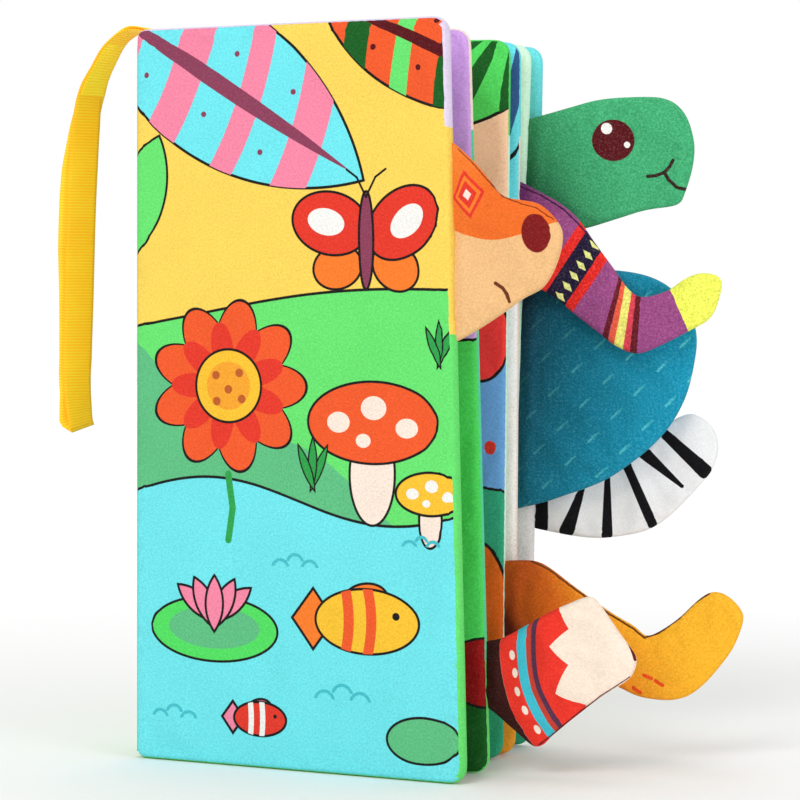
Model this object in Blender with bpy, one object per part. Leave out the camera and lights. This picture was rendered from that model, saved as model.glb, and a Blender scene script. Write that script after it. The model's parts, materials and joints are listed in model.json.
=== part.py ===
"""A crinkle cloth book that stands on its lower edges, half open.

Six padded leaves fan out from a spine strip, with a soft flap sewn in at most fore-edges
and a ribbon loop at the spine's top. X runs from the spine to the fore-edges, Y away from
the front cover and Z up. All lengths are in metres and all angles in degrees.
"""

import math

import bmesh
import bpy
from mathutils import Matrix, Vector

# Leaves
FRONT_COVER_HEIGHT = 0.2300
FRONT_COVER_TOP_WIDTH = 0.1063
FRONT_COVER_BOTTOM_WIDTH = 0.1117
LEAF_1_HEIGHT = 0.2280
LEAF_1_TOP_WIDTH = 0.1035
LEAF_1_BOTTOM_WIDTH = 0.1095
LEAF_HEIGHT = 0.2266
LEAF_2_TOP_WIDTH = 0.1083
LEAF_2_BOTTOM_WIDTH = 0.1060
LEAF_3_TOP_WIDTH = 0.1075
LEAF_3_BOTTOM_WIDTH = 0.1057
LEAF_4_TOP_WIDTH = 0.1069
LEAF_4_BOTTOM_WIDTH = 0.0989
BACK_COVER_TOP_WIDTH = 0.1070
BACK_COVER_BOTTOM_WIDTH = 0.1031
FORE_CORNER_RADIUS = 0.0040
SPINE_CORNER_RADIUS = 0.0020
CORNER_STEPS = 3

# Padding, measured from a leaf's middle plane
CLOTH_THICKNESS = 0.0005
CLOTH_GAP = 0.0003
SEAM_HALF_THICKNESS = 0.0006
SHOULDER_INSET = 0.0030
SHOULDER_HALF_THICKNESS = 0.0016
CROWN_INSET = 0.0110
CROWN_HALF_THICKNESS = 0.0022
WADDING_INSET = 0.0045
WADDING_EDGE_HALF_THICKNESS = 0.0003
FILM_THICKNESS = 0.00015

# Hinges between the leaves
LEAF_PITCH = 0.0055
LEAF_SHEAR = 0.0036
BOOK_TURN_ANGLE = -5.5
FRONT_COVER_OPENING_ANGLE = 6.6
LEAF_1_OPENING_ANGLE = 10.0
LEAF_2_OPENING_ANGLE = 1.5
LEAF_4_OPENING_ANGLE = 1.5
BACK_COVER_OPENING_ANGLE = 1.5

# Spine
STRIP_GAP = 0.00075
STRIP_THICKNESS = 0.0008
STRIP_END_MARGIN = 0.0015
STRIP_FLOOR_MARGIN = 0.0008
THREAD_RADIUS = 0.0003
THREAD_END_MARGIN = 0.0110
THREAD_SIDES = 8

# Flaps. A drop is measured from the leaf's top edge and a lift from its bottom edge
FLAP_GAP = 0.0009
FLAP_SEAM_HALF_THICKNESS = 0.0006
FLAP_CROWN_INSET = 0.0026
FLAP_CROWN_HALF_THICKNESS = 0.0016
FLAP_FILLING_INSET = 0.0032
MITRE_LIMIT = 1.6

POINTED_HEAD_LENGTH = 0.0339
POINTED_HEAD_HEIGHT = 0.0604
POINTED_HEAD_DROP = 0.0373
RED_TAIL_LENGTH = 0.0460
RED_TAIL_HEIGHT = 0.0462
RED_TAIL_LIFT = 0.0086
ORANGE_TAIL_LENGTH = 0.0738
ORANGE_TAIL_HEIGHT = 0.0428
ORANGE_TAIL_LIFT = 0.0194
BANDED_TAIL_LENGTH = 0.0635
BANDED_TAIL_HEIGHT = 0.0547
BANDED_TAIL_DROP = 0.0441
ROUND_HEAD_LENGTH = 0.0525
ROUND_HEAD_HEIGHT = 0.0428
ROUND_HEAD_DROP = 0.0171
SHELL_LENGTH = 0.0550
SHELL_HEIGHT = 0.0798
SHELL_DROP = 0.0727
STRIPED_TAIL_LENGTH = 0.0579
STRIPED_TAIL_HEIGHT = 0.0399
STRIPED_TAIL_LIFT = 0.0673

# Each flap's outline, from the foot of its seam round its tip: shares of length and height
POINTED_HEAD_SHARES = (
    (0.00, 0.00), (0.20, 0.06), (0.43, 0.14), (0.64, 0.22), (0.81, 0.27), (0.91, 0.35),
    (0.98, 0.45), (1.00, 0.53), (0.97, 0.58), (0.90, 0.63), (0.79, 0.68), (0.62, 0.70),
    (0.46, 0.72), (0.33, 0.81), (0.19, 0.90), (0.00, 1.00),
)
RED_TAIL_SHARES = (
    (0.00, 0.25), (0.07, 0.20), (0.19, 0.10), (0.33, 0.00), (0.44, 0.09), (0.57, 0.20),
    (0.76, 0.35), (0.95, 0.48), (1.00, 0.58), (0.99, 0.64), (0.89, 0.78), (0.75, 0.98),
    (0.69, 1.00), (0.59, 0.96), (0.42, 0.88), (0.22, 0.76), (0.10, 0.70), (0.00, 0.68),
)
ORANGE_TAIL_SHARES = (
    (0.00, 0.44), (0.10, 0.43), (0.23, 0.32), (0.36, 0.20), (0.51, 0.07), (0.58, 0.02),
    (0.69, 0.00), (0.77, 0.03), (0.84, 0.12), (0.90, 0.24), (0.96, 0.39), (1.00, 0.58),
    (0.99, 0.67), (0.93, 0.77), (0.87, 0.79), (0.81, 0.72), (0.74, 0.60), (0.66, 0.50),
    (0.60, 0.46), (0.55, 0.53), (0.45, 0.63), (0.30, 0.81), (0.20, 0.94), (0.13, 1.00),
    (0.00, 1.00),
)
BANDED_TAIL_SHARES = (
    (0.00, 0.43), (0.10, 0.38), (0.20, 0.31), (0.29, 0.22), (0.40, 0.12), (0.49, 0.04),
    (0.59, 0.00), (0.69, 0.04), (0.84, 0.13), (0.94, 0.20), (0.98, 0.29), (1.00, 0.41),
    (0.97, 0.45), (0.89, 0.46), (0.81, 0.42), (0.74, 0.36), (0.61, 0.32), (0.54, 0.37),
    (0.48, 0.47), (0.38, 0.63), (0.29, 0.78), (0.20, 0.87), (0.11, 0.93), (0.00, 1.00),
)
ROUND_HEAD_SHARES = (
    (0.00, 0.02), (0.17, 0.00), (0.35, 0.02), (0.54, 0.09), (0.72, 0.16), (0.91, 0.20),
    (0.95, 0.28), (0.99, 0.46), (1.00, 0.62), (0.98, 0.75), (0.94, 0.87), (0.87, 0.96),
    (0.77, 1.00), (0.57, 1.00), (0.41, 0.98), (0.26, 0.93), (0.12, 0.88), (0.00, 0.84),
)
SHELL_SHARES = (
    (0.00, 0.02), (0.17, 0.05), (0.29, 0.08), (0.41, 0.11), (0.53, 0.15), (0.65, 0.21),
    (0.75, 0.27), (0.84, 0.34), (0.91, 0.42), (0.96, 0.51), (0.99, 0.62), (1.00, 0.72),
    (0.97, 0.81), (0.91, 0.88), (0.82, 0.94), (0.70, 0.98), (0.54, 1.00), (0.37, 1.00),
    (0.19, 0.97), (0.00, 0.92),
)
STRIPED_TAIL_SHARES = (
    (0.00, 0.08), (0.10, 0.05), (0.21, 0.02), (0.35, 0.00), (0.49, 0.02), (0.61, 0.06),
    (0.70, 0.13), (0.80, 0.26), (0.91, 0.44), (0.97, 0.55), (1.00, 0.68), (1.00, 0.80),
    (0.96, 0.92), (0.89, 0.99), (0.82, 1.00), (0.68, 0.88), (0.49, 0.68), (0.31, 0.52),
    (0.15, 0.42), (0.00, 0.36),
)

# Ribbon loop, two layers of one ribbon that comes over the leaves' top and turns as it falls
RIBBON_WIDTH = 0.0100
RIBBON_THICKNESS = 0.0006
RIBBON_LAYER_SPACING = 0.0011
RIBBON_SPLAY = 0.0034
RIBBON_ROOT_GAP = 0.0010
RIBBON_ROOT_RISE = 0.0012
RIBBON_REACH = 0.0374
RIBBON_DROP = 0.1256
RIBBON_SET_BACK = 0.0090
RIBBON_SET_BACK_SHARE = 0.45
RIBBON_ROOT_TURN_ANGLE = 16.0
RIBBON_HANG_TURN_ANGLE = 56.5
RIBBON_TURNED_SHARE = 0.62
RIBBON_SPLAY_POWER = 2.5
RIBBON_STEPS = 3
RIBBON_TURN_STEPS = 4
# The ribbon's middle line: shares of its reach from the spine and of its drop
RIBBON_ROUTE_SHARES = (
    (0.00, 0.000), (0.16, -0.022), (0.32, -0.036), (0.44, -0.042), (0.54, -0.034), (0.67, -0.002),
    (0.77, 0.048), (0.87, 0.114), (0.92, 0.206), (0.96, 0.402), (0.98, 0.663), (1.00, 0.820),
    (0.96, 1.000),
)

# Colours and finish
CLOTH_ROUGHNESS = 0.85
FILM_ROUGHNESS = 0.25
RIBBON_ROUGHNESS = 0.6
YELLOW = (0.95, 0.68, 0.11)
GREEN = (0.13, 0.75, 0.15)
PURPLE = (0.38, 0.17, 0.51)
DARK_GREEN = (0.02, 0.11, 0.02)
LEAF_GREEN = (0.12, 0.45, 0.16)
TEAL_GREEN = (0.03, 0.30, 0.25)
CYAN = (0.12, 0.68, 0.75)
PEACH = (0.96, 0.58, 0.33)
MINT = (0.35, 0.80, 0.62)
OLIVE = (0.10, 0.12, 0.02)
ORANGE = (0.95, 0.30, 0.06)
RED = (0.80, 0.04, 0.03)
TAIL_ORANGE = (0.90, 0.37, 0.02)
TAIL_PURPLE = (0.26, 0.05, 0.22)
HEAD_GREEN = (0.05, 0.40, 0.15)
TEAL = (0.01, 0.25, 0.38)
TAIL_WHITE = (0.75, 0.75, 0.77)
WADDING_WHITE = (0.80, 0.80, 0.78)
FILM_CLEAR = (0.70, 0.74, 0.76)
RIBBON_YELLOW = (0.95, 0.52, 0.02)
THREAD_GREEN = (0.08, 0.55, 0.12)


def clear_scene():
    """Removes the objects that are there."""
    for thing in list(bpy.data.objects):
        bpy.data.objects.remove(thing, do_unlink=True)


def finish_of(name, colour, roughness=CLOTH_ROUGHNESS):
    """A Principled material of its own for one piece."""
    material = bpy.data.materials.new(name)
    material.use_nodes = True
    shader = material.node_tree.nodes["Principled BSDF"]
    shader.inputs["Base Color"].default_value = (*colour, 1.0)
    shader.inputs["Roughness"].default_value = roughness
    shader.inputs["Metallic"].default_value = 0.0
    return material


def pivot(name, parent, place, turn=0.0):
    """An empty on a hinge's axis, turned about Z."""
    empty = bpy.data.objects.new(name, None)
    bpy.context.collection.objects.link(empty)
    empty.parent = parent
    empty.location = place
    empty.rotation_euler = (0.0, 0.0, math.radians(turn))
    return empty


def loft(name, rings, parent, material, place=(0.0, 0.0, 0.0)):
    """One closed solid through a list of rings with alike points, capped at both ends."""
    mesh = bpy.data.meshes.new(name)
    shape = bmesh.new()
    rows = [[shape.verts.new(point) for point in ring] for ring in rings]
    for row, following in zip(rows, rows[1:]):
        for i in range(len(row)):
            j = (i + 1) % len(row)
            shape.faces.new((row[i], row[j], following[j], following[i]))
    shape.faces.new(rows[0])
    shape.faces.new(rows[-1])
    bmesh.ops.recalc_face_normals(shape, faces=shape.faces)
    shape.to_mesh(mesh)
    shape.free()
    mesh.shade_smooth()
    mesh.set_sharp_from_angle(angle=math.radians(40))
    mesh.materials.append(material)
    piece = bpy.data.objects.new(name, mesh)
    bpy.context.collection.objects.link(piece)
    piece.parent = parent
    piece.location = place
    return piece


def lean_of(top_width, bottom_width, height):
    """How far a leaf's fore-edge leans for each unit of its height."""
    return (top_width - bottom_width) / height


def leaf_outline(top_width, bottom_width, height, inset):
    """A leaf's rounded outline, drawn in by the inset: (x, z) points from the spine's foot."""
    lean = lean_of(top_width, bottom_width, height)
    low, high = inset, height - inset
    corners = (
        (bottom_width + lean * low - inset, low, FORE_CORNER_RADIUS, -90),
        (bottom_width + lean * high - inset, high, FORE_CORNER_RADIUS, 0),
        (inset, high, SPINE_CORNER_RADIUS, 90),
        (inset, low, SPINE_CORNER_RADIUS, 180),
    )
    points = []
    for x, z, radius, start in corners:
        middle = math.radians(start + 45)
        centre_x = x - math.copysign(radius, math.cos(middle))
        centre_z = z - math.copysign(radius, math.sin(middle))
        for step in range(CORNER_STEPS + 1):
            angle = math.radians(start + 90 * step / CORNER_STEPS)
            points.append((centre_x + radius * math.cos(angle), centre_z + radius * math.sin(angle)))
    return points


def raised(outline, height):
    """An outline as a ring at one height over the middle plane."""
    return [(x, height, z) for x, z in outline]


def cloth_panel(name, outline_at, steps, side, parent, material, place):
    """One crowned cloth panel. Steps give each ring's inset and its outer half thickness."""
    outer = [raised(outline_at(inset), side * height) for inset, height in reversed(steps)]
    inner = [
        raised(outline_at(inset), side * (CLOTH_GAP / 2 if inset == 0 else height - CLOTH_THICKNESS))
        for inset, height in steps
    ]
    return loft(name, outer + inner, parent, material, place)


def padded_leaf(name, size, parent, place, front_colour, back_colour):
    """A leaf's two cloth panels, with wadding and a crinkle film between them."""
    def outline_at(inset):
        return leaf_outline(*size, inset)

    steps = (
        (0.0, SEAM_HALF_THICKNESS),
        (SHOULDER_INSET, SHOULDER_HALF_THICKNESS),
        (CROWN_INSET, CROWN_HALF_THICKNESS),
    )
    for side, face, colour in ((-1, "front", front_colour), (1, "back", back_colour)):
        label = f"{name}_{face}_panel"
        cloth_panel(label, outline_at, steps, side, parent, finish_of(label, colour), place)
    hollow = CROWN_HALF_THICKNESS - CLOTH_THICKNESS - CLOTH_GAP
    film_back = FILM_THICKNESS - hollow
    film = [raised(outline_at(CROWN_INSET), height) for height in (-hollow, film_back)]
    label = f"{name}_crinkle_film"
    loft(label, film, parent, finish_of(label, FILM_CLEAR, FILM_ROUGHNESS), place)
    wadding = [
        raised(outline_at(CROWN_INSET), film_back + CLOTH_GAP),
        raised(outline_at(WADDING_INSET), -WADDING_EDGE_HALF_THICKNESS),
        raised(outline_at(WADDING_INSET), WADDING_EDGE_HALF_THICKNESS),
        raised(outline_at(CROWN_INSET), hollow),
    ]
    label = f"{name}_wadding"
    loft(label, wadding, parent, finish_of(label, WADDING_WHITE), place)


def drawn_in(points, inset):
    """A flap's outline moved inwards by the inset, with its sharp corners held back."""
    moved = []
    for i, (x, z) in enumerate(points):
        before, after = points[i - 1], points[(i + 1) % len(points)]
        one = Vector((x - before[0], z - before[1])).normalized()
        two = Vector((after[0] - x, after[1] - z)).normalized()
        along = (one + two).normalized()
        reach = min(1 / max(along.dot(one), 1 / MITRE_LIMIT), MITRE_LIMIT)
        moved.append((x - along.y * inset * reach, z + along.x * inset * reach))
    return moved


def lift_of(drop, height, leaf_height=LEAF_HEIGHT):
    """How high a flap's foot is, for a flap that hangs this far under the leaf's top."""
    return leaf_height - drop - height


def flap(name, leaf, lean_line, size, shares, colours):
    """A soft flap sewn in at a leaf's fore-edge, on a hinge of its own."""
    length, height, lift = size
    foot, lean, leaf_place = lean_line
    middle = lift + height / 2
    hinge_x = leaf_place[0] + foot + lean * middle + FLAP_GAP / 2
    hinge = pivot(f"{name}_hinge", leaf, (hinge_x, leaf_place[1], 0.0))
    points = [
        (FLAP_GAP / 2 + x * length + (lean * (lift + z * height - middle)), lift + z * height)
        for x, z in shares
    ]

    def outline_at(inset):
        return drawn_in(points, inset) if inset else points

    steps = ((0.0, FLAP_SEAM_HALF_THICKNESS), (FLAP_CROWN_INSET, FLAP_CROWN_HALF_THICKNESS))
    for side, face, colour in ((-1, "front", colours[0]), (1, "back", colours[1])):
        label = f"{name}_{face}"
        cloth_panel(label, outline_at, steps, side, hinge, finish_of(label, colour), (0.0, 0.0, 0.0))
    fill = FLAP_CROWN_HALF_THICKNESS - CLOTH_THICKNESS - CLOTH_GAP
    label = f"{name}_filling"
    rings = [raised(outline_at(FLAP_FILLING_INSET), height) for height in (-fill, fill)]
    loft(label, rings, hinge, finish_of(label, WADDING_WHITE))
    return hinge


def spine_line(leaves):
    """Where each leaf's spine edge stands, in the book's own axes."""
    bpy.context.view_layer.update()
    return [leaf.matrix_world @ Vector(place) for leaf, place in leaves]


def spine_strip(book, edges):
    """The cloth strip that joins the leaves' spine edges, and its sewing thread."""
    runs = [(after - before).normalized() for before, after in zip(edges, edges[1:])]
    runs = [runs[0], *[(a + b).normalized() for a, b in zip(runs, runs[1:])], runs[-1]]
    outward = [Vector((-run.y, run.x, 0.0)) for run in runs]
    line = [*edges]
    line[0] = edges[0] - STRIP_END_MARGIN * runs[0]
    line[-1] = edges[-1] + STRIP_END_MARGIN * runs[-1]
    inner = [point + STRIP_GAP * normal for point, normal in zip(line, outward)]
    outer = [point + STRIP_THICKNESS * normal for point, normal in zip(inner, outward)]
    around = inner + outer[::-1]
    rings = [
        [(point.x, point.y, z) for point in around]
        for z in (STRIP_FLOOR_MARGIN, LEAF_HEIGHT - STRIP_FLOOR_MARGIN)
    ]
    loft("spine_strip", rings, book, finish_of("spine_strip", GREEN))
    middle = len(edges) // 2
    off = THREAD_RADIUS + CLOTH_GAP
    axis = outer[middle] + off * outward[middle]
    rings = [
        [
            (
                axis.x + THREAD_RADIUS * math.cos(2 * math.pi * i / THREAD_SIDES),
                axis.y + THREAD_RADIUS * math.sin(2 * math.pi * i / THREAD_SIDES),
                z,
            )
            for i in range(THREAD_SIDES)
        ]
        for z in (THREAD_END_MARGIN, LEAF_HEIGHT - THREAD_END_MARGIN)
    ]
    loft("spine_thread", rings, book, finish_of("spine_thread", THREAD_GREEN))


def smooth_route(points, steps):
    """Points on a smooth curve through the route's own points."""
    padded = [points[0] * 2 - points[1], *points, points[-1] * 2 - points[-2]]
    route = []
    for a, b, c, d in zip(padded, padded[1:], padded[2:], padded[3:]):
        for step in range(steps):
            t = step / steps
            route.append(
                (2 * b + (c - a) * t + (2 * a - 5 * b + 4 * c - d) * t**2
                 + (3 * b - a - 3 * c + d) * t**3) / 2
            )
    return [*route, points[-1]]


def ribbon_loop(hinge, edge):
    """A ribbon folded in half: flat over the leaves' top, then turning to face front as it hangs."""
    start = Vector((-RIBBON_ROOT_GAP, 0.0, LEAF_HEIGHT + RIBBON_ROOT_RISE))

    def on_route(x, z):
        """A point of the middle line, which also drifts back behind the front cover's swing."""
        back = RIBBON_SET_BACK * min(x / RIBBON_SET_BACK_SHARE, 1)
        return start + Vector((-x * RIBBON_REACH, back, -z * RIBBON_DROP))

    route = smooth_route([on_route(*shares) for shares in RIBBON_ROUTE_SHARES], RIBBON_STEPS)
    last = len(route) - 1
    half_cloth = RIBBON_THICKNESS / 2
    turn_radius = RIBBON_LAYER_SPACING / 2
    rings = []

    def directions(i):
        """Which way the ribbon runs, its level width direction and its outward direction."""
        run = (route[min(i + 1, last)] - route[max(i - 1, 0)]).normalized()
        eased = min(i / last / RIBBON_TURNED_SHARE, 1) ** 2
        turn = RIBBON_ROOT_TURN_ANGLE + (RIBBON_HANG_TURN_ANGLE - RIBBON_ROOT_TURN_ANGLE) * eased
        across = Vector((math.sin(math.radians(turn)), math.cos(math.radians(turn)), 0.0))
        return run, across, across.cross(run).normalized()

    def section(middle, across, outward):
        """Four corners of the ribbon's section."""
        rings.append([
            middle + sign * RIBBON_WIDTH / 2 * across + face * half_cloth * outward
            for sign, face in ((-1, -1), (1, -1), (1, 1), (-1, 1))
        ])

    for i, point in enumerate(route):
        _, across, outward = directions(i)
        section(point - turn_radius * outward, across, -outward)
    run, across, outward = directions(last)
    for step in range(1, RIBBON_TURN_STEPS):
        angle = math.pi * step / RIBBON_TURN_STEPS
        out = math.sin(angle) * run - math.cos(angle) * outward
        section(route[-1] + turn_radius * out, across, out)
    for i in reversed(range(last + 1)):
        _, across, outward = directions(i)
        aside = RIBBON_SPLAY * math.sin(math.pi * (i / last) ** RIBBON_SPLAY_POWER)
        section(route[i] + turn_radius * outward - Vector((aside, 0.0, 0.0)), across, outward)
    return loft(
        "ribbon_loop", rings, hinge, finish_of("ribbon_loop", RIBBON_YELLOW, RIBBON_ROUGHNESS), edge
    )


def stand_at_origin(book):
    """Moves the book so that its lowest face's middle is the origin."""
    bpy.context.view_layer.update()
    corners = [
        piece.matrix_world @ vertex.co
        for piece in bpy.data.objects
        if piece.type == "MESH"
        for vertex in piece.data.vertices
    ]
    for axis in (0, 1):
        values = [corner[axis] for corner in corners]
        book.location[axis] -= (min(values) + max(values)) / 2
    book.location[2] -= min(corner[2] for corner in corners)
    bpy.context.view_layer.update()


def main():
    clear_scene()
    book = pivot("book", None, (0.0, 0.0, 0.0), BOOK_TURN_ANGLE)
    half_step = (LEAF_SHEAR / 2, LEAF_PITCH / 2, 0.0)
    half_back = (-LEAF_SHEAR / 2, -LEAF_PITCH / 2, 0.0)
    step_forward = (-LEAF_SHEAR, -LEAF_PITCH, 0.0)
    step_behind = (LEAF_SHEAR, LEAF_PITCH, 0.0)
    leaf_2 = pivot("leaf_2_hinge", book, half_back, -LEAF_2_OPENING_ANGLE)
    leaf_1 = pivot("leaf_1_hinge", leaf_2, step_forward, -LEAF_1_OPENING_ANGLE)
    front_cover = pivot("front_cover_hinge", leaf_1, step_forward, -FRONT_COVER_OPENING_ANGLE)
    leaf_4 = pivot("leaf_4_hinge", book, half_step, LEAF_4_OPENING_ANGLE)
    back_cover = pivot("back_cover_hinge", leaf_4, step_behind, BACK_COVER_OPENING_ANGLE)
    leaves = {
        "front_cover": (
            front_cover, half_back,
            (FRONT_COVER_TOP_WIDTH, FRONT_COVER_BOTTOM_WIDTH, FRONT_COVER_HEIGHT), YELLOW, GREEN,
        ),
        "leaf_1": (
            leaf_1, half_back, (LEAF_1_TOP_WIDTH, LEAF_1_BOTTOM_WIDTH, LEAF_1_HEIGHT), PURPLE, MINT
        ),
        "leaf_2": (
            leaf_2, half_back, (LEAF_2_TOP_WIDTH, LEAF_2_BOTTOM_WIDTH, LEAF_HEIGHT), LEAF_GREEN, TEAL_GREEN
        ),
        "leaf_3": (
            book, (0.0, 0.0, 0.0), (LEAF_3_TOP_WIDTH, LEAF_3_BOTTOM_WIDTH, LEAF_HEIGHT), CYAN, PEACH
        ),
        "leaf_4": (
            leaf_4, half_step, (LEAF_4_TOP_WIDTH, LEAF_4_BOTTOM_WIDTH, LEAF_HEIGHT), MINT, OLIVE
        ),
        "back_cover": (
            back_cover, half_step,
            (BACK_COVER_TOP_WIDTH, BACK_COVER_BOTTOM_WIDTH, LEAF_HEIGHT), CYAN, DARK_GREEN,
        ),
    }
    for name, (parent, place, size, front, back) in leaves.items():
        padded_leaf(name, size, parent, place, front, back)
    flaps = (
        ("pointed_head_flap", "front_cover", POINTED_HEAD_SHARES, (ORANGE, ORANGE),
         (POINTED_HEAD_LENGTH, POINTED_HEAD_HEIGHT,
          lift_of(POINTED_HEAD_DROP, POINTED_HEAD_HEIGHT, FRONT_COVER_HEIGHT))),
        ("red_tail_flap", "leaf_1", RED_TAIL_SHARES, (RED, RED),
         (RED_TAIL_LENGTH, RED_TAIL_HEIGHT, RED_TAIL_LIFT)),
        ("orange_tail_flap", "leaf_2", ORANGE_TAIL_SHARES, (TAIL_ORANGE, TAIL_ORANGE),
         (ORANGE_TAIL_LENGTH, ORANGE_TAIL_HEIGHT, ORANGE_TAIL_LIFT)),
        ("banded_tail_flap", "leaf_3", BANDED_TAIL_SHARES, (TAIL_PURPLE, TAIL_PURPLE),
         (BANDED_TAIL_LENGTH, BANDED_TAIL_HEIGHT, lift_of(BANDED_TAIL_DROP, BANDED_TAIL_HEIGHT))),
        ("round_head_flap", "leaf_4", ROUND_HEAD_SHARES, (HEAD_GREEN, HEAD_GREEN),
         (ROUND_HEAD_LENGTH, ROUND_HEAD_HEIGHT, lift_of(ROUND_HEAD_DROP, ROUND_HEAD_HEIGHT))),
        ("shell_flap", "leaf_4", SHELL_SHARES, (TEAL, TEAL),
         (SHELL_LENGTH, SHELL_HEIGHT, lift_of(SHELL_DROP, SHELL_HEIGHT))),
        ("striped_tail_flap", "back_cover", STRIPED_TAIL_SHARES, (TAIL_WHITE, TAIL_WHITE),
         (STRIPED_TAIL_LENGTH, STRIPED_TAIL_HEIGHT, STRIPED_TAIL_LIFT)),
    )
    for name, leaf, shares, colours, size in flaps:
        parent, place, leaf_size, _, _ = leaves[leaf]
        flap(name, parent, (leaf_size[1], lean_of(*leaf_size), place), size, shares, colours)
    edges = spine_line([(parent, place) for parent, place, _, _, _ in leaves.values()])
    flat = Matrix.Rotation(-math.radians(BOOK_TURN_ANGLE), 4, "Z")
    spine_strip(book, [flat @ edge for edge in edges])
    ribbon = pivot("ribbon_hinge", book, (-RIBBON_ROOT_GAP, 0.0, LEAF_HEIGHT + RIBBON_ROOT_RISE))
    back_to_edge = (RIBBON_ROOT_GAP, 0.0, -RIBBON_ROOT_RISE - LEAF_HEIGHT)
    ribbon_loop(ribbon, back_to_edge)
    stand_at_origin(book)


main()
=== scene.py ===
import json
import math
from functools import partialmethod

import bmesh
import bpy
import numpy as np
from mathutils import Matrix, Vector, geometry


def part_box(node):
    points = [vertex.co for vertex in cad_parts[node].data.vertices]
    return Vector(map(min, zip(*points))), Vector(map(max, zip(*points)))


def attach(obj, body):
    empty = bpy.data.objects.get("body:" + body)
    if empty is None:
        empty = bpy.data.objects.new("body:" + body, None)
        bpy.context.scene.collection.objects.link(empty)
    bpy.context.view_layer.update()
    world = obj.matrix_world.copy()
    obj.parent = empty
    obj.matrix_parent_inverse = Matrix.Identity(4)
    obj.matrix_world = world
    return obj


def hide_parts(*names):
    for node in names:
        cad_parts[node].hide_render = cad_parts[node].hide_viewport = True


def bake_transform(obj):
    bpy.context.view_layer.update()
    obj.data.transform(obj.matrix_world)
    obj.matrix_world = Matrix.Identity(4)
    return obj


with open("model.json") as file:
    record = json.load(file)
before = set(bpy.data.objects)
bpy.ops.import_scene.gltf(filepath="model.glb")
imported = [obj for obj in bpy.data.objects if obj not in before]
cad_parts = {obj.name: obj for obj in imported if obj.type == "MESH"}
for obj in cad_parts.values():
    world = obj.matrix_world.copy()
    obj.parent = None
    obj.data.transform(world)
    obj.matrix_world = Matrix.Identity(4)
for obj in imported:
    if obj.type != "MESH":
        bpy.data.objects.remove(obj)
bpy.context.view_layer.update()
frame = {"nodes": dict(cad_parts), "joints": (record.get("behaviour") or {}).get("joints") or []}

UP = Vector((0.0, 0.0, 1.0))
MILLIMETRES = 1000.0

# Camera
CAMERA_PLACE = (0.00308, -0.78808, 0.1494)
CAMERA_LENS = 113.6
CAMERA_SHIFT = -0.14375

# Light and floor
WORLD_STRENGTH = 0.59
LAMPS = (
    ("key_lamp", (-0.9, -1.5, 1.5), 1.1, 16.2),
    ("fill_lamp", (1.5, -1.2, 0.7), 1.2, 8.4),
    ("top_lamp", (0.1, 0.5, 1.9), 1.2, 7.4),
)
LAMP_AIM = (0.0, 0.0, 0.1)
FLOOR_SIZE = 6.0
FLOOR_DEPTH = 0.0006
FLOOR_COLOUR = (0.96, 0.96, 0.955, 1.0)
FLOOR_NEAR = 0.16
FLOOR_FADE = 0.32

# Cloth finish
CLOTH_SHEEN = 0.03
CLOTH_SPECULAR = 0.15
CLOTH_RELIEF = 0.00012
CLOTH_BUMP = 0.7
FAR_FROM_SEAM = 0.01

# Leaves
LEAVES = ("front_cover", "leaf_1", "leaf_2", "leaf_3", "leaf_4", "back_cover")
FORE_CORNER = 0.0045
SPINE_CORNER = 0.0025
LEAF_SPACING = 0.0028
LEAF_RINGS = (0.0013, 0.0028)
LEAF_EDGE_HALF = 0.0012
COVER_EDGE_HALF = 0.0016
LEAF_CROWN_HALF = 0.0020
LEAF_RISE = 0.0045
LEAF_SWELL_CAP = 0.0004
LEAF_WAVE = 0.00020
WAVE_LENGTH = 0.022
WAVE_FADE = 0.008
RIM_SHARE = 0.45
POINT_CROWDING = 0.0008
RING_CLEAR_SHARE = 0.9
INNER_CLEAR_SHARE = 0.55
CROWDED_SHARE = 0.6
SEAM_BAND_SHARE = 1.05

# Flaps
FLAP_SPACING = 0.0020
FLAP_RINGS = (0.0009, 0.0021)
FLAP_EDGE_HALF = 0.0006
FLAP_CROWN_HALF = 0.0021
FLAP_RISE = 0.0042
FLAP_SWELL_CAP = 0.0012
FLAP_WAVE = 0.00030
FLAP_TUCK = 0.0026
FLAP_ROOT_SHARE = 0.45
FLAP_ROOT_REACH = 0.006

# Cloth simulation
SWELL_FRAMES = 14
SWELL_PRESSURE = 3.0
CLOTH_EXCESS = -0.018

# Spine and ribbon
STRIP_HALF = 0.0004
STRIP_OFF = 0.00115
STRIP_BULGE = 0.0007
STRIP_MARGIN = 0.0012
STRIP_PRINT_STEP = 0.006
STITCH_LENGTH = 0.0026
STITCH_STEP = 0.0038
STITCH_RADIUS = 0.00032
RIBBON_HALF_WIDTH = 0.0050
RIBBON_HALF_THICKNESS = 0.00022
RIBBON_LAYER_GAP = 0.0011
RIBBON_SPLAY = 0.0034
RIBBON_SET_BACK = 0.0090
RIBBON_SET_BACK_SHARE = 0.25
RIBBON_FOLD_RISE = 0.0022
RIBBON_FOLD_REACH = 0.0120
RIBBON_FOLD_RUN = 0.002
RIBBON_LOOK_SHARE = 0.01
RIBBON_HANG_TURN_ANGLE = 56.5
RIBBON_GLOW = 0.2
RIB_STEP = 0.95
SELVEDGE = 0.9
SELVEDGE_FADE = 0.3
RIBBON_STEPS = 90
RIBBON_ACROSS = 8
RIBBON_ROUTE_SHARES = (
    (0.00, 0.000), (0.16, -0.022), (0.32, -0.036), (0.44, -0.042), (0.53, -0.036), (0.67, -0.002),
    (0.77, 0.048), (0.87, 0.112), (0.92, 0.206), (0.96, 0.402), (0.985, 0.663), (1.00, 0.80),
    (1.00, 0.88), (0.96, 1.00),
)
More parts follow.
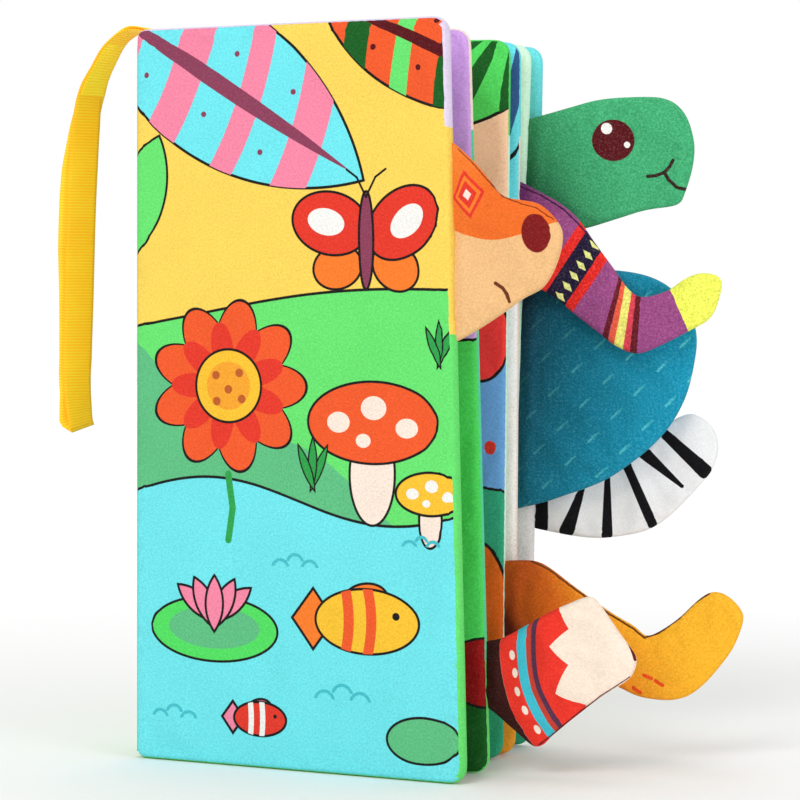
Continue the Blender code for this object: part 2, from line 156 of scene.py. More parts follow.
# The ribbon's turn in degrees and its second layer's offset, by share of its length
RIBBON_TURNS = (
    (0.0, 16.0), (0.18, 23.5), (0.25, 27.5), (0.31, 40.5), (0.37, 51.5), (0.45, 56.5), (0.85, 56.5),
    (1.0, 33.0),
)
RIBBON_OFFSETS = (
    (0.0, 0.0), (0.30, 0.0), (0.365, 0.0014), (0.41, 0.0022), (0.46, 0.0031), (0.515, 0.0034), (0.62, 0.0034),
    (0.72, 0.0026), (0.845, 0.0019), (0.92, 0.0024), (0.985, 0.0042), (1.0, 0.0),
)


def hundredths(*numbers):
    """Pairs of shares, given in hundredths."""
    shares = [number / 100 for number in numbers]
    return tuple(zip(shares[::2], shares[1::2]))


# Each flap's outline, from the foot of its seam round its tip: hundredths of its length and height
POINTED_HEAD_SHARES = hundredths(
    0, 0,  20, 6,  43, 14,  64, 22,  81, 27,  91, 35,  98, 45,  100, 53,  97, 58,  90, 63,  79, 68,
    62, 70,  46, 72,  33, 81,  19, 90,  0, 100,
)
RED_TAIL_SHARES = hundredths(
    0, 25,  7, 20,  19, 10,  33, 0,  44, 9,  57, 20,  76, 35,  95, 48,  100, 58,  99, 64,  89, 78,
    75, 98,  69, 100,  59, 96,  42, 88,  22, 76,  10, 70,  0, 68,
)
ORANGE_TAIL_SHARES = hundredths(
    0, 44,  10, 43,  23, 32,  36, 20,  51, 7,  58, 2,  69, 0,  77, 3,  84, 12,  90, 24,  96, 39,
    100, 58,  99, 67,  93, 77,  87, 79,  81, 72,  74, 60,  66, 50,  60, 46,  55, 53,  45, 63,
    30, 81,  20, 94,  13, 100,  0, 100,
)
BANDED_TAIL_SHARES = hundredths(
    0, 43,  10, 38,  20, 31,  29, 22,  40, 12,  49, 4,  59, 0,  69, 4,  84, 13,  94, 20,  98, 29,
    100, 41,  97, 45,  89, 46,  81, 42,  74, 36,  61, 32,  54, 37,  48, 47,  38, 63,  29, 78,
    20, 87,  11, 93,  0, 100,
)
ROUND_HEAD_SHARES = hundredths(
    0, 2,  17, 0,  35, 2,  54, 9,  72, 16,  91, 20,  95, 28,  99, 46,  100, 62,  98, 75,  94, 87,
    87, 96,  77, 100,  57, 100,  41, 98,  26, 93,  12, 88,  0, 84,
)
SHELL_SHARES = hundredths(
    0, 2,  17, 5,  29, 8,  41, 11,  53, 15,  65, 21,  75, 27,  84, 34,  91, 42,  96, 51,  99, 62,
    100, 72,  97, 81,  91, 88,  82, 94,  70, 98,  54, 100,  37, 100,  19, 97,  0, 92,
)
STRIPED_TAIL_SHARES = hundredths(
    0, 8,  10, 5,  21, 2,  35, 0,  49, 2,  61, 6,  70, 13,  80, 26,  91, 44,  97, 55,  100, 68,
    100, 80,  96, 92,  89, 99,  82, 100,  68, 88,  49, 68,  31, 52,  15, 42,  0, 36,
)


def dye(red, green, blue):
    """A cloth colour given in 0 to 255, as the linear colour that shaders use."""
    def linear(part):
        part /= 255
        return part / 12.92 if part <= 0.04045 else ((part + 0.055) / 1.055) ** 2.4

    return (linear(red), linear(green), linear(blue), 1.0)


INK = dye(18, 14, 14)
WHITE = dye(245, 243, 238)
CREAM = dye(250, 230, 215)
YELLOW = dye(250, 213, 92)
SUN = dye(250, 195, 50)
GREEN = dye(104, 226, 112)
SOFT_GREEN = dye(95, 190, 130)
LEAF_GREEN = dye(82, 222, 98)
GRASS = dye(45, 160, 75)
DARK_GREEN = dye(15, 92, 28)
TEAL_GREEN = dye(50, 172, 130)
MINT = dye(214, 255, 228)
CYAN = dye(112, 228, 235)
POND_MARK = dye(70, 190, 200)
LEAF_CYAN = dye(112, 230, 238)
BLUE = dye(50, 90, 140)
PINK = dye(245, 135, 165)
LILAC = dye(228, 214, 240)
PURPLE = dye(170, 120, 195)
MAROON = dye(88, 8, 18)
PLUM = dye(140, 62, 90)
RED = dye(228, 55, 38)
RED_ORANGE = dye(240, 90, 40)
ORANGE = dye(250, 125, 40)
AMBER = dye(246, 165, 45)
BROWN = dye(190, 95, 40)
PALE_PEACH = dye(255, 212, 174)
PAGE_BLUE = dye(112, 172, 232)
PAGE_WHITE = dye(240, 236, 238)
OLIVE = dye(60, 75, 30)


class Term:
    """A number in a node tree, so that a distance can be written as a formula."""

    def __init__(self, tree, socket):
        self.tree = tree
        self.socket = socket

    def math(self, operation, *others, clamp=False):
        entries = enumerate((self, *others))
        node = added(self.tree, "ShaderNodeMath", entries, operation=operation, use_clamp=clamp)
        return Term(self.tree, node.outputs[0])

    __add__ = partialmethod(math, "ADD")
    __sub__ = partialmethod(math, "SUBTRACT")
    __mul__ = partialmethod(math, "MULTIPLY")
    __truediv__ = partialmethod(math, "DIVIDE")
    above = partialmethod(math, "MAXIMUM")
    below = partialmethod(math, "MINIMUM")
    size = partialmethod(math, "ABSOLUTE")
    sine = partialmethod(math, "SINE")
    cosine = partialmethod(math, "COSINE")
    root = partialmethod(math, "SQRT")
    nearest = partialmethod(math, "ROUND")
    clamped = partialmethod(math, "ADD", 0.0, clamp=True)

    def __neg__(self):
        return self * -1.0

    def wrapped(self, step):
        """The rest from a step, centred on zero."""
        return self - (self / step).nearest() * step

    def zigzag(self, step):
        """A triangle wave from 0 to 1."""
        return self.wrapped(step).size() / (step / 2)


def set_all(target, **settings):
    """Sets many properties of one thing."""
    for label, value in settings.items():
        setattr(target, label, value)


def feed(tree, entry, value):
    """Links an input to a socket or a term, or sets its value."""
    value = value.socket if isinstance(value, Term) else value
    if isinstance(value, bpy.types.NodeSocket):
        tree.links.new(value, entry)
    else:
        entry.default_value = value


def added(tree, kind, entries=(), **settings):
    """A new node with its settings, and with its inputs fed by label or number."""
    node = tree.nodes.new(kind)
    set_all(node, **settings)
    for label, value in dict(entries).items():
        feed(tree, node.inputs[label], value)
    return node


def parts_of(tree, place):
    """A coordinate's three numbers."""
    return [Term(tree, part) for part in added(tree, "ShaderNodeSeparateXYZ", {0: place}).outputs]


def far(x, y):
    """The distance of a point from the middle."""
    return (x * x + y * y).root()


def blended(tree, share, first, second):
    """A colour mix. A colour is a socket or a constant."""
    return added(tree, "ShaderNodeMix", {0: share, 6: first, 7: second}, data_type="RGBA").outputs[2]


def noise_of(tree, place, scale, detail=2.0):
    """Noise from 0 to 1 on a coordinate."""
    noise = added(tree, "ShaderNodeTexNoise", {"Scale": scale, "Detail": detail, "Vector": place})
    return Term(tree, noise.outputs["Fac"])


def raised(tree, shader, height, distance=0.0001, strength=1.0):
    """Raises a surface by a height."""
    bump = added(tree, "ShaderNodeBump", {"Strength": strength, "Distance": distance, "Height": height})
    feed(tree, shader.inputs["Normal"], bump.outputs["Normal"])


def new_material(name, roughness):
    """A material, its node tree and its shader."""
    material = bpy.data.materials.new(name)
    material.use_nodes = True
    shader = material.node_tree.nodes["Principled BSDF"]
    shader.inputs["Roughness"].default_value = roughness
    return material, material.node_tree, shader


def new_group(name, kinds, outputs, family="ShaderNodeTree"):
    """A node group with named inputs and outputs: the group, its given values and its output node."""
    group = bpy.data.node_groups.new(name, family)
    for label, kind, value in kinds:
        entry = group.interface.new_socket(label, in_out="INPUT", socket_type=f"NodeSocket{kind}")
        if value is not None:
            entry.default_value = value
    for label, kind in outputs:
        group.interface.new_socket(label, in_out="OUTPUT", socket_type=f"NodeSocket{kind}")
    return group, group.nodes.new("NodeGroupInput").outputs, group.nodes.new("NodeGroupOutput")


SOFT_EDGE = 0.16
SHAPES = {}


def shape_group(name, sizes, distance):
    """A printed shape: it lays a fill and an outline over the colour below, inside a signed distance."""
    kinds = [
        ("Below", "Color", (1, 1, 1, 1)), ("Place", "Vector", None), ("Centre X", "Float", 0.0),
        ("Centre Y", "Float", 0.0), ("Turn", "Float", 0.0), ("Within", "Float", 1.0),
        ("Fill", "Color", (1, 1, 1, 1)), ("Line", "Color", INK), ("Line Width", "Float", 0.8),
    ]
    kinds += [(label, "Float", value) for label, value in sizes]
    group, given, leave = new_group(name, kinds, [("Color", "Color"), ("Mask", "Float")])
    number = {label: Term(group, given[label]) for label, kind, _ in kinds if kind == "Float"}
    right, high, _ = parts_of(group, given["Place"])
    right, high = right - number["Centre X"], high - number["Centre Y"]
    cosine, sine = number["Turn"].cosine(), number["Turn"].sine()
    x, y = right * cosine + high * sine, high * cosine - right * sine
    gap = distance(x, y, *(number[label] for label, _ in sizes))
    inside = (-gap / SOFT_EDGE + 0.5).clamped() * number["Within"]
    drawn = (number["Line Width"] * 50.0).clamped() * number["Within"]
    line = ((number["Line Width"] / 2.0 - gap.size()) / SOFT_EDGE + 0.5).clamped() * drawn
    filled = blended(group, inside, given["Below"], given["Fill"])
    feed(group, leave.inputs["Color"], blended(group, line, filled, given["Line"]))
    feed(group, leave.inputs["Mask"], inside)
    SHAPES[name] = group


def oval(x, y, wide, high):
    near = far(x / wide, y / high)
    return near * (near - 1.0) / far(x / (wide * wide), y / (high * high)).above(0.001)


def pointed_leaf(x, y, long, wide):
    """Two circles' shared part, as a leaf with two points."""
    radius = (long * long + wide * wide) / (wide * 2.0)
    aside = radius - wide
    return far(x, y.size() + aside) - radius


def flower(x, y, radius, petals, depth):
    angle = y.math("ARCTAN2", x)
    wave = (angle * petals / 2.0).cosine().size()
    return (far(x, y) - radius + depth - wave * depth) * 0.85


def hill(x, y, tall, length, phase, slope):
    wave = (x / length * (2 * math.pi) + phase).sine() * tall
    return (y - wave - x * slope) * 0.9


def stroke(x, y, long, half):
    """A line with round ends, from the centre to both sides."""
    return far((x.size() - long).above(0.0), y) - half


def tapered(x, y, long, start, end):
    """A line with round ends, whose half width runs from the start's to the end's."""
    share = (x / (long * 2.0) + 0.5).clamped()
    return far((x.size() - long).above(0.0), y) - start - (end - start) * share


def diamond(x, y, wide, high):
    return (x.size() / wide + y.size() / high - 1.0) * (wide.below(high) * 0.75)


def arch(x, y, radius, half, cut):
    """The part of a ring that is over the cut line."""
    return ((far(x, y) - radius).size() - half).above(cut - y)


def band(x, y, half, bend):
    return (x + y * y * bend).size() - half


def ring(x, y, radius, half, teeth, depth):
    """A round band, whose inner edge may have teeth."""
    tooth = (y.math("ARCTAN2", x) * teeth).zigzag(2.0) * depth
    return (far(x, y) + tooth - radius).size() - half


def dashes(x, y, step, row, long, half):
    """Short strokes in staggered rows."""
    line = (y / row).nearest()
    along = x + line * step * 0.41
    return stroke(along.wrapped(step), y - line * row, long, half)


for distance, *sizes in (
    (oval, ("Wide", 5.0), ("High", 5.0)),
    (pointed_leaf, ("Long", 10.0), ("Wide", 5.0)),
    (flower, ("Radius", 10.0), ("Petals", 6.0), ("Depth", 3.0)),
    (hill, ("Tall", 3.0), ("Length", 80.0), ("Phase", 0.0), ("Slope", 0.0)),
    (stroke, ("Long", 5.0), ("Half", 0.5)),
    (tapered, ("Long", 5.0), ("Start", 1.0), ("End", 1.0)),
    (diamond, ("Wide", 5.0), ("High", 5.0)),
    (arch, ("Radius", 5.0), ("Half", 0.5), ("Cut", 0.0)),
    (band, ("Half", 3.0), ("Bend", 0.0)),
    (ring, ("Radius", 10.0), ("Half", 2.0), ("Teeth", 0.0), ("Depth", 0.0)),
    (dashes, ("Step", 10.0), ("Row", 8.0), ("Long", 1.0), ("Half", 0.3)),
):
    shape_group(distance.__name__, sizes, distance)


def cloth_group():
    """Brushed woven cloth: the print's colour with thread shade, pale flecks and painted shade along the
    seam, and the weave's height.
    """
    kinds = [
        ("Color", "Color", (1, 1, 1, 1)), ("Place", "Vector", None), ("Edge", "Float", 10.0),
        ("Thread", "Float", 0.75), ("Ribs", "Float", 0.0), ("Grain", "Float", 0.5), ("Fleck", "Float", 0.06),
    ]
    group, given, leave = new_group("woven_cloth", kinds, [("Color", "Color"), ("Height", "Float")])
    place = given["Place"]
    edge, thread, ribbed, grain, fleck = (Term(group, given[label]) for label, *_ in kinds[2:])

    def noise(scale, detail=1.0):
        return noise_of(group, place, scale, detail) - 0.5

    right, high, out = parts_of(group, place)
    turn = (right + out) / thread * (2 * math.pi)
    climb = high / thread * (2 * math.pi)
    crossing = turn.sine() * climb.sine()
    twill = ((turn + climb) / 2.0).sine()
    ribs = (turn / 2.0).sine() * ribbed
    weave = (crossing * 0.60 + twill * 0.08) * (noise_of(group, place, 1.1) * 1.9) + ribs
    fibre, brushed, pucker, speckle = noise(2.6, 3.0), noise(0.055, 3.0), noise(0.33), noise(1.55)
    near_seam = (-(edge / 4.5) + 1.0).clamped()
    sewn = (edge / 0.9).clamped()
    thick = (weave * 0.13 + speckle * 1.05) * grain
    # Painted shade: the colour is darker within 0.9 mm of the seam
    shade = thick + brushed * 0.14 + pucker * near_seam * 0.08 + sewn * 0.10 + 0.91
    dark = added(group, "ShaderNodeVectorMath", operation="SCALE")
    feed(group, dark.inputs[0], given["Color"])
    feed(group, dark.inputs["Scale"], shade)
    speck = ((noise_of(group, place, 3.4, 1.0) - 0.56) * 6.0).clamped()
    # Pale flecks: white mixed in from the fleck noise and from the brighter speckles
    pale_flecks = speck * fleck + (speckle * grain * 0.15).above(0.0)
    feed(group, leave.inputs["Color"], blended(group, pale_flecks, dark.outputs[0], WHITE))
    height = weave * 0.30 + fibre * 0.55 + brushed * 0.8 + pucker * near_seam * 1.6 + sewn * 0.6
    feed(group, leave.inputs["Height"], height)
    return group


WOVEN = cloth_group()


def run_between(start, end):
    """The middle of a line between two points, and its turn and half length."""
    middle = ((start[0] + end[0]) / 2, (start[1] + end[1]) / 2)
    turn = math.degrees(math.atan2(end[1] - start[1], end[0] - start[0]))
    return middle, {"turn": turn, "long": math.dist(start, end) / 2}


class Cloth:
    """A printed cloth finish. Shapes are laid one over another, in millimetres on the face."""

    def __init__(self, name, ground, roughness=0.82, origin=(0.0, 0.0)):
        self.material, self.tree, self.shader = new_material(name, roughness)
        self.shader.inputs["Sheen Weight"].default_value = CLOTH_SHEEN
        self.shader.inputs["Specular IOR Level"].default_value = CLOTH_SPECULAR
        self.ground = ground
        face = added(self.tree, "ShaderNodeAttribute", attribute_name="print")
        self.place = added(self.tree, "ShaderNodeMapping", {
            "Location": (-origin[0] * MILLIMETRES, -origin[1] * MILLIMETRES, 0.0),
            "Scale": (MILLIMETRES, MILLIMETRES, MILLIMETRES), "Vector": face.outputs["Vector"],
        }).outputs[0]

    def lay(self, shape, at, colour, width=0.8, turn=0.0, within=None, **sizes):
        """Lays one outlined shape over what is there, and gives back the mask of its inside."""
        entries = {label.capitalize(): value for label, value in sizes.items()}
        if within is not None:
            entries["Within"] = within
        node = added(self.tree, "ShaderNodeGroup", {
            "Place": self.place, "Below": self.ground, "Centre X": at[0], "Centre Y": at[1],
            "Turn": math.radians(turn), "Line Width": width, "Fill": colour, "Line": INK, **entries,
        }, node_tree=SHAPES[shape])
        self.ground = node.outputs["Color"]
        return node.outputs["Mask"]

    def fill(self, shape, at, colour, **how):
        """Lays one shape with no outline."""
        return self.lay(shape, at, colour, 0.0, **how)

    def hill(self, high, colour, tall, length, phase=0.0, slope=0.0, width=0.8):
        """Lays everything under a wavy line."""
        self.lay("hill", (0.0, high), colour, width, tall=tall, length=length, phase=phase, slope=slope)

    def line(self, points, half, colour):
        """A drawn line through points."""
        for start, end in zip(points, points[1:]):
            middle, run = run_between(start, end)
            self.fill("stroke", middle, colour, half=half, **run)

    def stripe(self, start, end, halves, colour):
        """One printed stripe between two points, with its half width at each."""
        middle, run = run_between(start, end)
        self.fill("tapered", middle, colour, start=halves[0], end=halves[1], **run)

    def shaded(self, start, end, colour):
        """Paints shade or light on the face: darkens or tints it smoothly towards a point, from start to end.
        """
        place = parts_of(self.tree, self.place)
        run = (end[0] - start[0], end[1] - start[1])
        square = run[0] ** 2 + run[1] ** 2
        right, high = ((place[k] - start[k]) * (run[k] / square) for k in (0, 1))
        share = (right + high).clamped()
        self.ground = blended(self.tree, share * share, self.ground, colour)

    def done(self, grain=0.5, thread=0.75, ribs=0.0, fleck=0.03):
        """Weaves the cloth under the print and wires it to the shader."""
        edge = added(self.tree, "ShaderNodeAttribute", attribute_name="edge").outputs["Fac"]
        weave = added(self.tree, "ShaderNodeGroup", {
            "Color": self.ground, "Place": self.place, "Edge": Term(self.tree, edge) * MILLIMETRES,
            "Thread": thread, "Ribs": ribs, "Grain": grain, "Fleck": fleck,
        }, node_tree=WOVEN)
        feed(self.tree, self.shader.inputs["Base Color"], weave.outputs["Color"])
        raised(self.tree, self.shader, weave.outputs["Height"], CLOTH_RELIEF, CLOTH_BUMP)
        return self.material


# Motifs that the prints share. Places and sizes are in millimetres
def oval_on(face, x, y, size):
    """Lays ovals whose places and sizes are shares of a motif's size."""
    def laid(right, high, colour, wide, tall, **how):
        at = (x + right * size, y + high * size)
        return face.lay("oval", at, colour, wide=wide * size, high=tall * size, **how)

    return laid


def toadstool(face, x, y, size, cap, spots):
    draw = oval_on(face, x, y, size)
    draw(0.0, -0.45, CREAM, 0.30, 0.62)
    top = draw(0.0, 0.18, cap, 0.86, 0.50)
    places = ((-0.45, 0.18, 0.15), (0.02, 0.36, 0.17), (0.45, 0.12, 0.14), (-0.12, -0.04, 0.10))
    for right, high, radius in places:
        draw(right, high, spots, radius, 0.85 * radius, width=0.0, within=top)


def blossom(face, x, y, size, petal, inner, eye, petals):
    face.lay("flower", (x, y), petal, radius=size, petals=petals, depth=0.28 * size)
    face.fill("flower", (x, y), inner, turn=20, radius=0.74 * size, petals=petals, depth=0.34 * size)
    face.lay("oval", (x, y), eye, wide=0.42 * size, high=0.42 * size)


def seed_dots(face, x, y, size, colour):
    draw = oval_on(face, x, y, size)
    for right, high in ((-0.16, 0.12), (0.14, 0.15), (0.0, -0.04), (-0.15, -0.18), (0.17, -0.15)):
        draw(right, high, colour, 0.05, 0.05, width=0.0)


def butterfly(face, x, y, size, wing, lower, spot, turn=15):
    draw = oval_on(face, x, y, size)
    for side in (-1, 1):
        lean = turn + side * 28
        draw(side * 0.40, -0.34, lower, 0.34, 0.28, turn=-lean)
        draw(side * 0.50, 0.22, wing, 0.54, 0.40, turn=lean)
        draw(side * 0.56, 0.24, spot, 0.26, 0.17, width=0.0, turn=lean)
    draw(0.0, 0.0, PLUM, 0.10, 0.62)
    feeler = ((0.0, 0.55), (0.13, 0.80), (0.27, 0.90))
    for side in (-1, 1):
        face.line([(x + side * right * size, y + high * size) for right, high in feeler], 0.35, INK)


def fish(face, x, y, size, body, stripe, fin):
    draw = oval_on(face, x, y, size)
    face.lay("diamond", (x - 1.05 * size, y), fin, wide=0.42 * size, high=0.55 * size)
    draw(0.0, 0.42, fin, 0.42, 0.26, turn=8)
    skin = draw(0.0, 0.0, body, 1.0, 0.58)
    for right in (-0.34, 0.10):
        face.fill("band", (x + right * size, y), stripe, within=skin, half=0.10 * size, bend=0.012)
    draw(0.58, 0.12, INK, 0.07, 0.07, width=0.0)


def ripples(face, x, y, size, colour):
    for right, high in ((-1.0, 0.0), (0.0, 0.35), (1.0, 0.0)):
        at = (x + right * size, y + high * size)
        face.fill("arch", at, colour, radius=0.52 * size, half=0.5, cut=0.12 * size)


def water_leaf(face, x, y, size, petal):
    draw = oval_on(face, x, y, size)
    draw(0.0, 0.0, LEAF_GREEN, 1.0, 0.46)
    draw(0.0, 0.02, SOFT_GREEN, 0.72, 0.30, width=0.0)
    for lean in (52, -52, 26, -26, 0):
        side = math.sin(math.radians(lean))
        at = (x - 0.34 * size * side, y + 0.36 * size)
        face.lay("pointed_leaf", at, petal, turn=90 + lean, long=0.40 * size, wide=0.14 * size)


def tall_leaf(face, at, turn, long, wide, ground, stripe, second, rib):
    """A big leaf with wide stripes, dots and a tapered rib."""
    cosine, sine = math.cos(math.radians(turn)), math.sin(math.radians(turn))

    def on_blade(share, aside=0.0):
        right = at[0] + share * long * cosine - aside * wide * sine
        return (right, at[1] + share * long * sine + aside * wide * cosine)

    blade = face.lay("pointed_leaf", at, ground, turn=turn, width=0.9, long=long, wide=wide)
    for number, share in enumerate((-0.62, -0.22, 0.20, 0.60)):
        colour, half = (second, 0.10) if number % 2 else (stripe, 0.07)
        face.fill("band", on_blade(share), colour, turn=turn + 12, within=blade, half=half * long, bend=0.004)
    for share in (-0.42, 0.0, 0.40):
        for aside in (-0.45, 0.45):
            face.fill("oval", on_blade(share, aside), rib, within=blade, wide=0.9, high=0.9)
    face.fill("pointed_leaf", at, rib, turn=turn, within=blade, long=0.92 * long, wide=0.045 * long)


def grass(face, x, y, size, colour):
    for lean, share in ((68, 0.8), (90, 1.0), (112, 0.8)):
        right = share * size * math.cos(math.radians(lean))
        high = share * size * math.sin(math.radians(lean))
        at = (x + right / 2, y + high / 2)
        face.lay("pointed_leaf", at, colour, turn=lean, width=0.5, long=0.55 * size, wide=0.10 * size)


def front_print():
    """The front cover: a meadow and a pond under big leaves, with the title's place left bare."""
    face = Cloth("front_cover_print", YELLOW)
    face.hill(139.0, GREEN, 3.5, 190.0, -0.8, 0.07)
    face.hill(128.0, SOFT_GREEN, 4.0, 70.0, 2.2, -0.55, width=0.0)
    face.hill(84.0, CYAN, 6.0, 118.0, 0.1, -0.02)
    tall_leaf(face, (30.0, 212.0), -32, 58.0, 24.0, LEAF_CYAN, PINK, PINK, PLUM)
    tall_leaf(face, (100.0, 222.0), 156, 40.0, 17.0, RED_ORANGE, GREEN, DARK_GREEN, MAROON)
    face.lay("pointed_leaf", (1.0, 176.0), GREEN, turn=70, long=22.0, wide=9.0)
    blossom(face, 33.0, 118.0, 27.0, RED_ORANGE, RED, SUN, 9.0)
    face.fill("oval", (33.0, 118.0), AMBER, wide=7.5, high=7.5)
    seed_dots(face, 33.0, 118.0, 27.0, BROWN)
    face.line([(33.0, 90.5), (34.5, 80.0), (33.0, 70.0)], 1.1, GRASS)
    butterfly(face, 80.0, 163.0, 24.0, RED, ORANGE, WHITE)
    toadstool(face, 82.0, 103.0, 25.0, RED_ORANGE, CREAM)
    toadstool(face, 101.0, 84.0, 13.0, SUN, WHITE)
    grass(face, 62.0, 88.0, 14.0, GRASS)
    grass(face, 104.0, 126.0, 12.0, GRASS)
    water_leaf(face, 28.0, 42.0, 22.0, PINK)
    fish(face, 80.0, 47.0, 17.0, SUN, RED_ORANGE, ORANGE)
    fish(face, 44.0, 15.0, 9.0, RED, WHITE, PINK)
    for x, y, size in ((56.0, 62.0, 5.0), (72.0, 22.0, 6.0), (14.0, 13.0, 5.0), (98.0, 70.0, 4.0)):
        ripples(face, x, y, size, POND_MARK)
    face.lay("oval", (99.0, 12.0), SOFT_GREEN, wide=12.0, high=7.0)
    return face.done(grain=0.42)


def meadow(name, sky, land, water, leaf, motif, shore, crest):
    """A plain meadow page: sky, land and water in curves, with one motif and a few leaves."""
    face = Cloth(name, sky)
    face.hill(crest, land, 4.0, 150.0, 1.0, -0.04)
    face.hill(shore, water, 5.0, 105.0, 2.5, 0.03)
    tall_leaf(face, (22.0, 214.0), 18, 40.0, 15.0, leaf, SUN, DARK_GREEN, PLUM)
    motif(face)
    for x, y in ((20.0, 26.0), (62.0, 16.0), (86.0, 38.0)):
        ripples(face, x, y, 5.0, leaf)
    grass(face, 24.0, crest - 24.0, 14.0, DARK_GREEN)
    return face


def flower_motif(petal, inner):
    def drawn(face):
        blossom(face, 54.0, 122.0, 24.0, petal, inner, SUN, 7.0)
        blossom(face, 82.0, 160.0, 13.0, inner, petal, WHITE, 6.0)
    return drawn


def toadstool_motif(cap):
    def drawn(face):
        toadstool(face, 44.0, 112.0, 30.0, cap, CREAM)
        toadstool(face, 74.0, 98.0, 18.0, SUN, WHITE)
        butterfly(face, 64.0, 172.0, 16.0, ORANGE, PINK, WHITE, 0)
    return drawn


def pond_motif(body):
    def drawn(face):
        fish(face, 48.0, 56.0, 18.0, body, WHITE, ORANGE)
        water_leaf(face, 74.0, 84.0, 17.0, PINK)
        butterfly(face, 46.0, 150.0, 18.0, body, SUN, WHITE, 8)
    return drawn


def cover_lining():
    """The front cover's inner face, whose cloth also turns round its fore-edge."""
    face = meadow("front_cover_lining", LILAC, GREEN, GREEN, SOFT_GREEN, toadstool_motif(RED), 60.0, 198.0)
    for y in (133.0, 128.0):
        face.lay("band", (112.0, y), WHITE, turn=90, width=0.7, half=1.6)
    return face.done()


def leaf_1_front():
    sky, motif = dye(216, 168, 236), flower_motif(PINK, RED)
    face = meadow("leaf_1_front_print", sky, LEAF_GREEN, DARK_GREEN, CYAN, motif, 23.0, 140.0)
    face.lay("oval", (111.5, 30.6), dye(168, 12, 16), wide=18.0, high=10.8)
    return face.done()


def leaf_2_front():
    motif = toadstool_motif(PURPLE)
    face = meadow("leaf_2_front_print", PALE_PEACH, PAGE_BLUE, TEAL_GREEN, MINT, motif, 78.5, 139.0)
    blade = face.lay("oval", (92.0, 221.0), LEAF_GREEN, turn=20, width=1.0, wide=34.0, high=21.0)
    for x, y, turn in ((96.0, 212.0, 62.0), (108.0, 209.0, 84.0), (84.0, 218.0, 30.0)):
        face.fill("pointed_leaf", (x, y), DARK_GREEN, turn=turn, within=blade, long=20.0, wide=2.6)
    face.lay("oval", (99.0, 133.0), dye(255, 60, 58), width=1.0, wide=9.4, high=14.0)
    face.fill("oval", (102.1, 98.0), RED, wide=1.9, high=2.2)
    face.lay("oval", (98.5, 48.0), dye(238, 108, 24), width=1.0, turn=6, wide=10.0, high=21.0)
    return face.done()


def leaf_3_front():
    land, motif = dye(255, 250, 246), pond_motif(RED)
    face = meadow("leaf_3_front_print", LEAF_CYAN, land, AMBER, TEAL_GREEN, motif, 52.0, 178.0)
    face.fill("pointed_leaf", (107.0, 217.0), BLUE, turn=80, long=24.0, wide=2.4)
    face.line([(100.0, 184.0), (112.0, 200.0)], 0.6, INK)
    face.line([(112.0, 184.0), (106.0, 160.0)], 0.5, INK)
    return face.done()


def back_cover_front():
    motif = toadstool_motif(PINK)
    face = meadow("back_cover_lining", LEAF_CYAN, GREEN, TEAL_GREEN, MINT, motif, 44.0, 128.0)
    face.lay("oval", (103.0, 69.0), PAGE_WHITE, wide=12.0, high=12.0)
    return face.done()


def back_print():
    """The back cover: a wide meadow with flowers, of the front's colours."""
    face = Cloth("back_cover_print", CYAN)
    face.hill(150.0, YELLOW, 5.0, 150.0, 2.0, 0.05)
    face.hill(112.0, GREEN, 6.0, 120.0, 0.2, -0.06)
    face.hill(46.0, SOFT_GREEN, 4.0, 90.0, 1.2, 0.04)
    tall_leaf(face, (84.0, 214.0), 30, 46.0, 18.0, LEAF_GREEN, SUN, DARK_GREEN, MAROON)
    tall_leaf(face, (10.0, 196.0), 120, 34.0, 13.0, RED_ORANGE, PINK, PINK, MAROON)
    blossom(face, 64.0, 96.0, 22.0, PINK, RED, SUN, 8.0)
    seed_dots(face, 64.0, 96.0, 22.0, BROWN)
    blossom(face, 26.0, 66.0, 14.0, SUN, ORANGE, RED, 6.0)
    butterfly(face, 40.0, 160.0, 20.0, PURPLE, PINK, WHITE, 0)
    toadstool(face, 86.0, 40.0, 20.0, RED, CREAM)
    grass(face, 48.0, 20.0, 14.0, GRASS)
    grass(face, 16.0, 24.0, 12.0, GRASS)
    return face.done()


def edge_print(name, low, middle, high, foot=34.0, head=196.0):
    """The cloth that turns round a leaf's edge, in three lengths of colour."""
    face = Cloth(name, high)
    face.hill(head, middle, 1.0, 20.0, width=0.0)
    face.hill(foot, low, 1.0, 20.0, width=0.0)
    return face.done(grain=0.3)


def plain_page(*page):
    """A meadow page with nothing more on it."""
    return lambda: meadow(*page).done()


LEAF_PRINTS = {
    "front_cover": (front_print, cover_lining, ("front_cover_edge", GREEN, YELLOW, LILAC, 134.0, 196.0)),
    "leaf_1": (
        leaf_1_front,
        plain_page("leaf_1_back_print", PALE_PEACH, TEAL_GREEN, GREEN, CYAN, pond_motif(ORANGE), 66.0, 186.0),
        ("leaf_1_edge", GREEN, dye(90, 215, 160), CREAM),
    ),
    "leaf_2": (
        leaf_2_front,
        plain_page(
            "leaf_2_back_print", CYAN, SOFT_GREEN, TEAL_GREEN, YELLOW, flower_motif(ORANGE, SUN), 40.0, 120.0,
        ),
        ("leaf_2_edge", TEAL_GREEN, MINT, LEAF_GREEN),
    ),
    "leaf_3": (
        leaf_3_front,
        plain_page("leaf_3_back_print", PALE_PEACH, GREEN, CYAN, PINK, toadstool_motif(AMBER), 60.0, 130.0),
        ("leaf_3_edge", AMBER, CREAM, LEAF_CYAN),
    ),
    "leaf_4": (
        plain_page(
            "leaf_4_front_print", MINT, CREAM, OLIVE, LEAF_GREEN, flower_motif(PURPLE, PINK), 30.0, 120.0,
        ),
        plain_page("leaf_4_back_print", YELLOW, SOFT_GREEN, TEAL_GREEN, CYAN, pond_motif(SUN), 55.0, 125.0),
        ("leaf_4_edge", OLIVE, MINT, MINT),
    ),
    "back_cover": (
        back_cover_front, back_print, ("back_cover_edge", TEAL_GREEN, PAGE_WHITE, LEAF_CYAN, 57.0, 84.0),
    ),
}


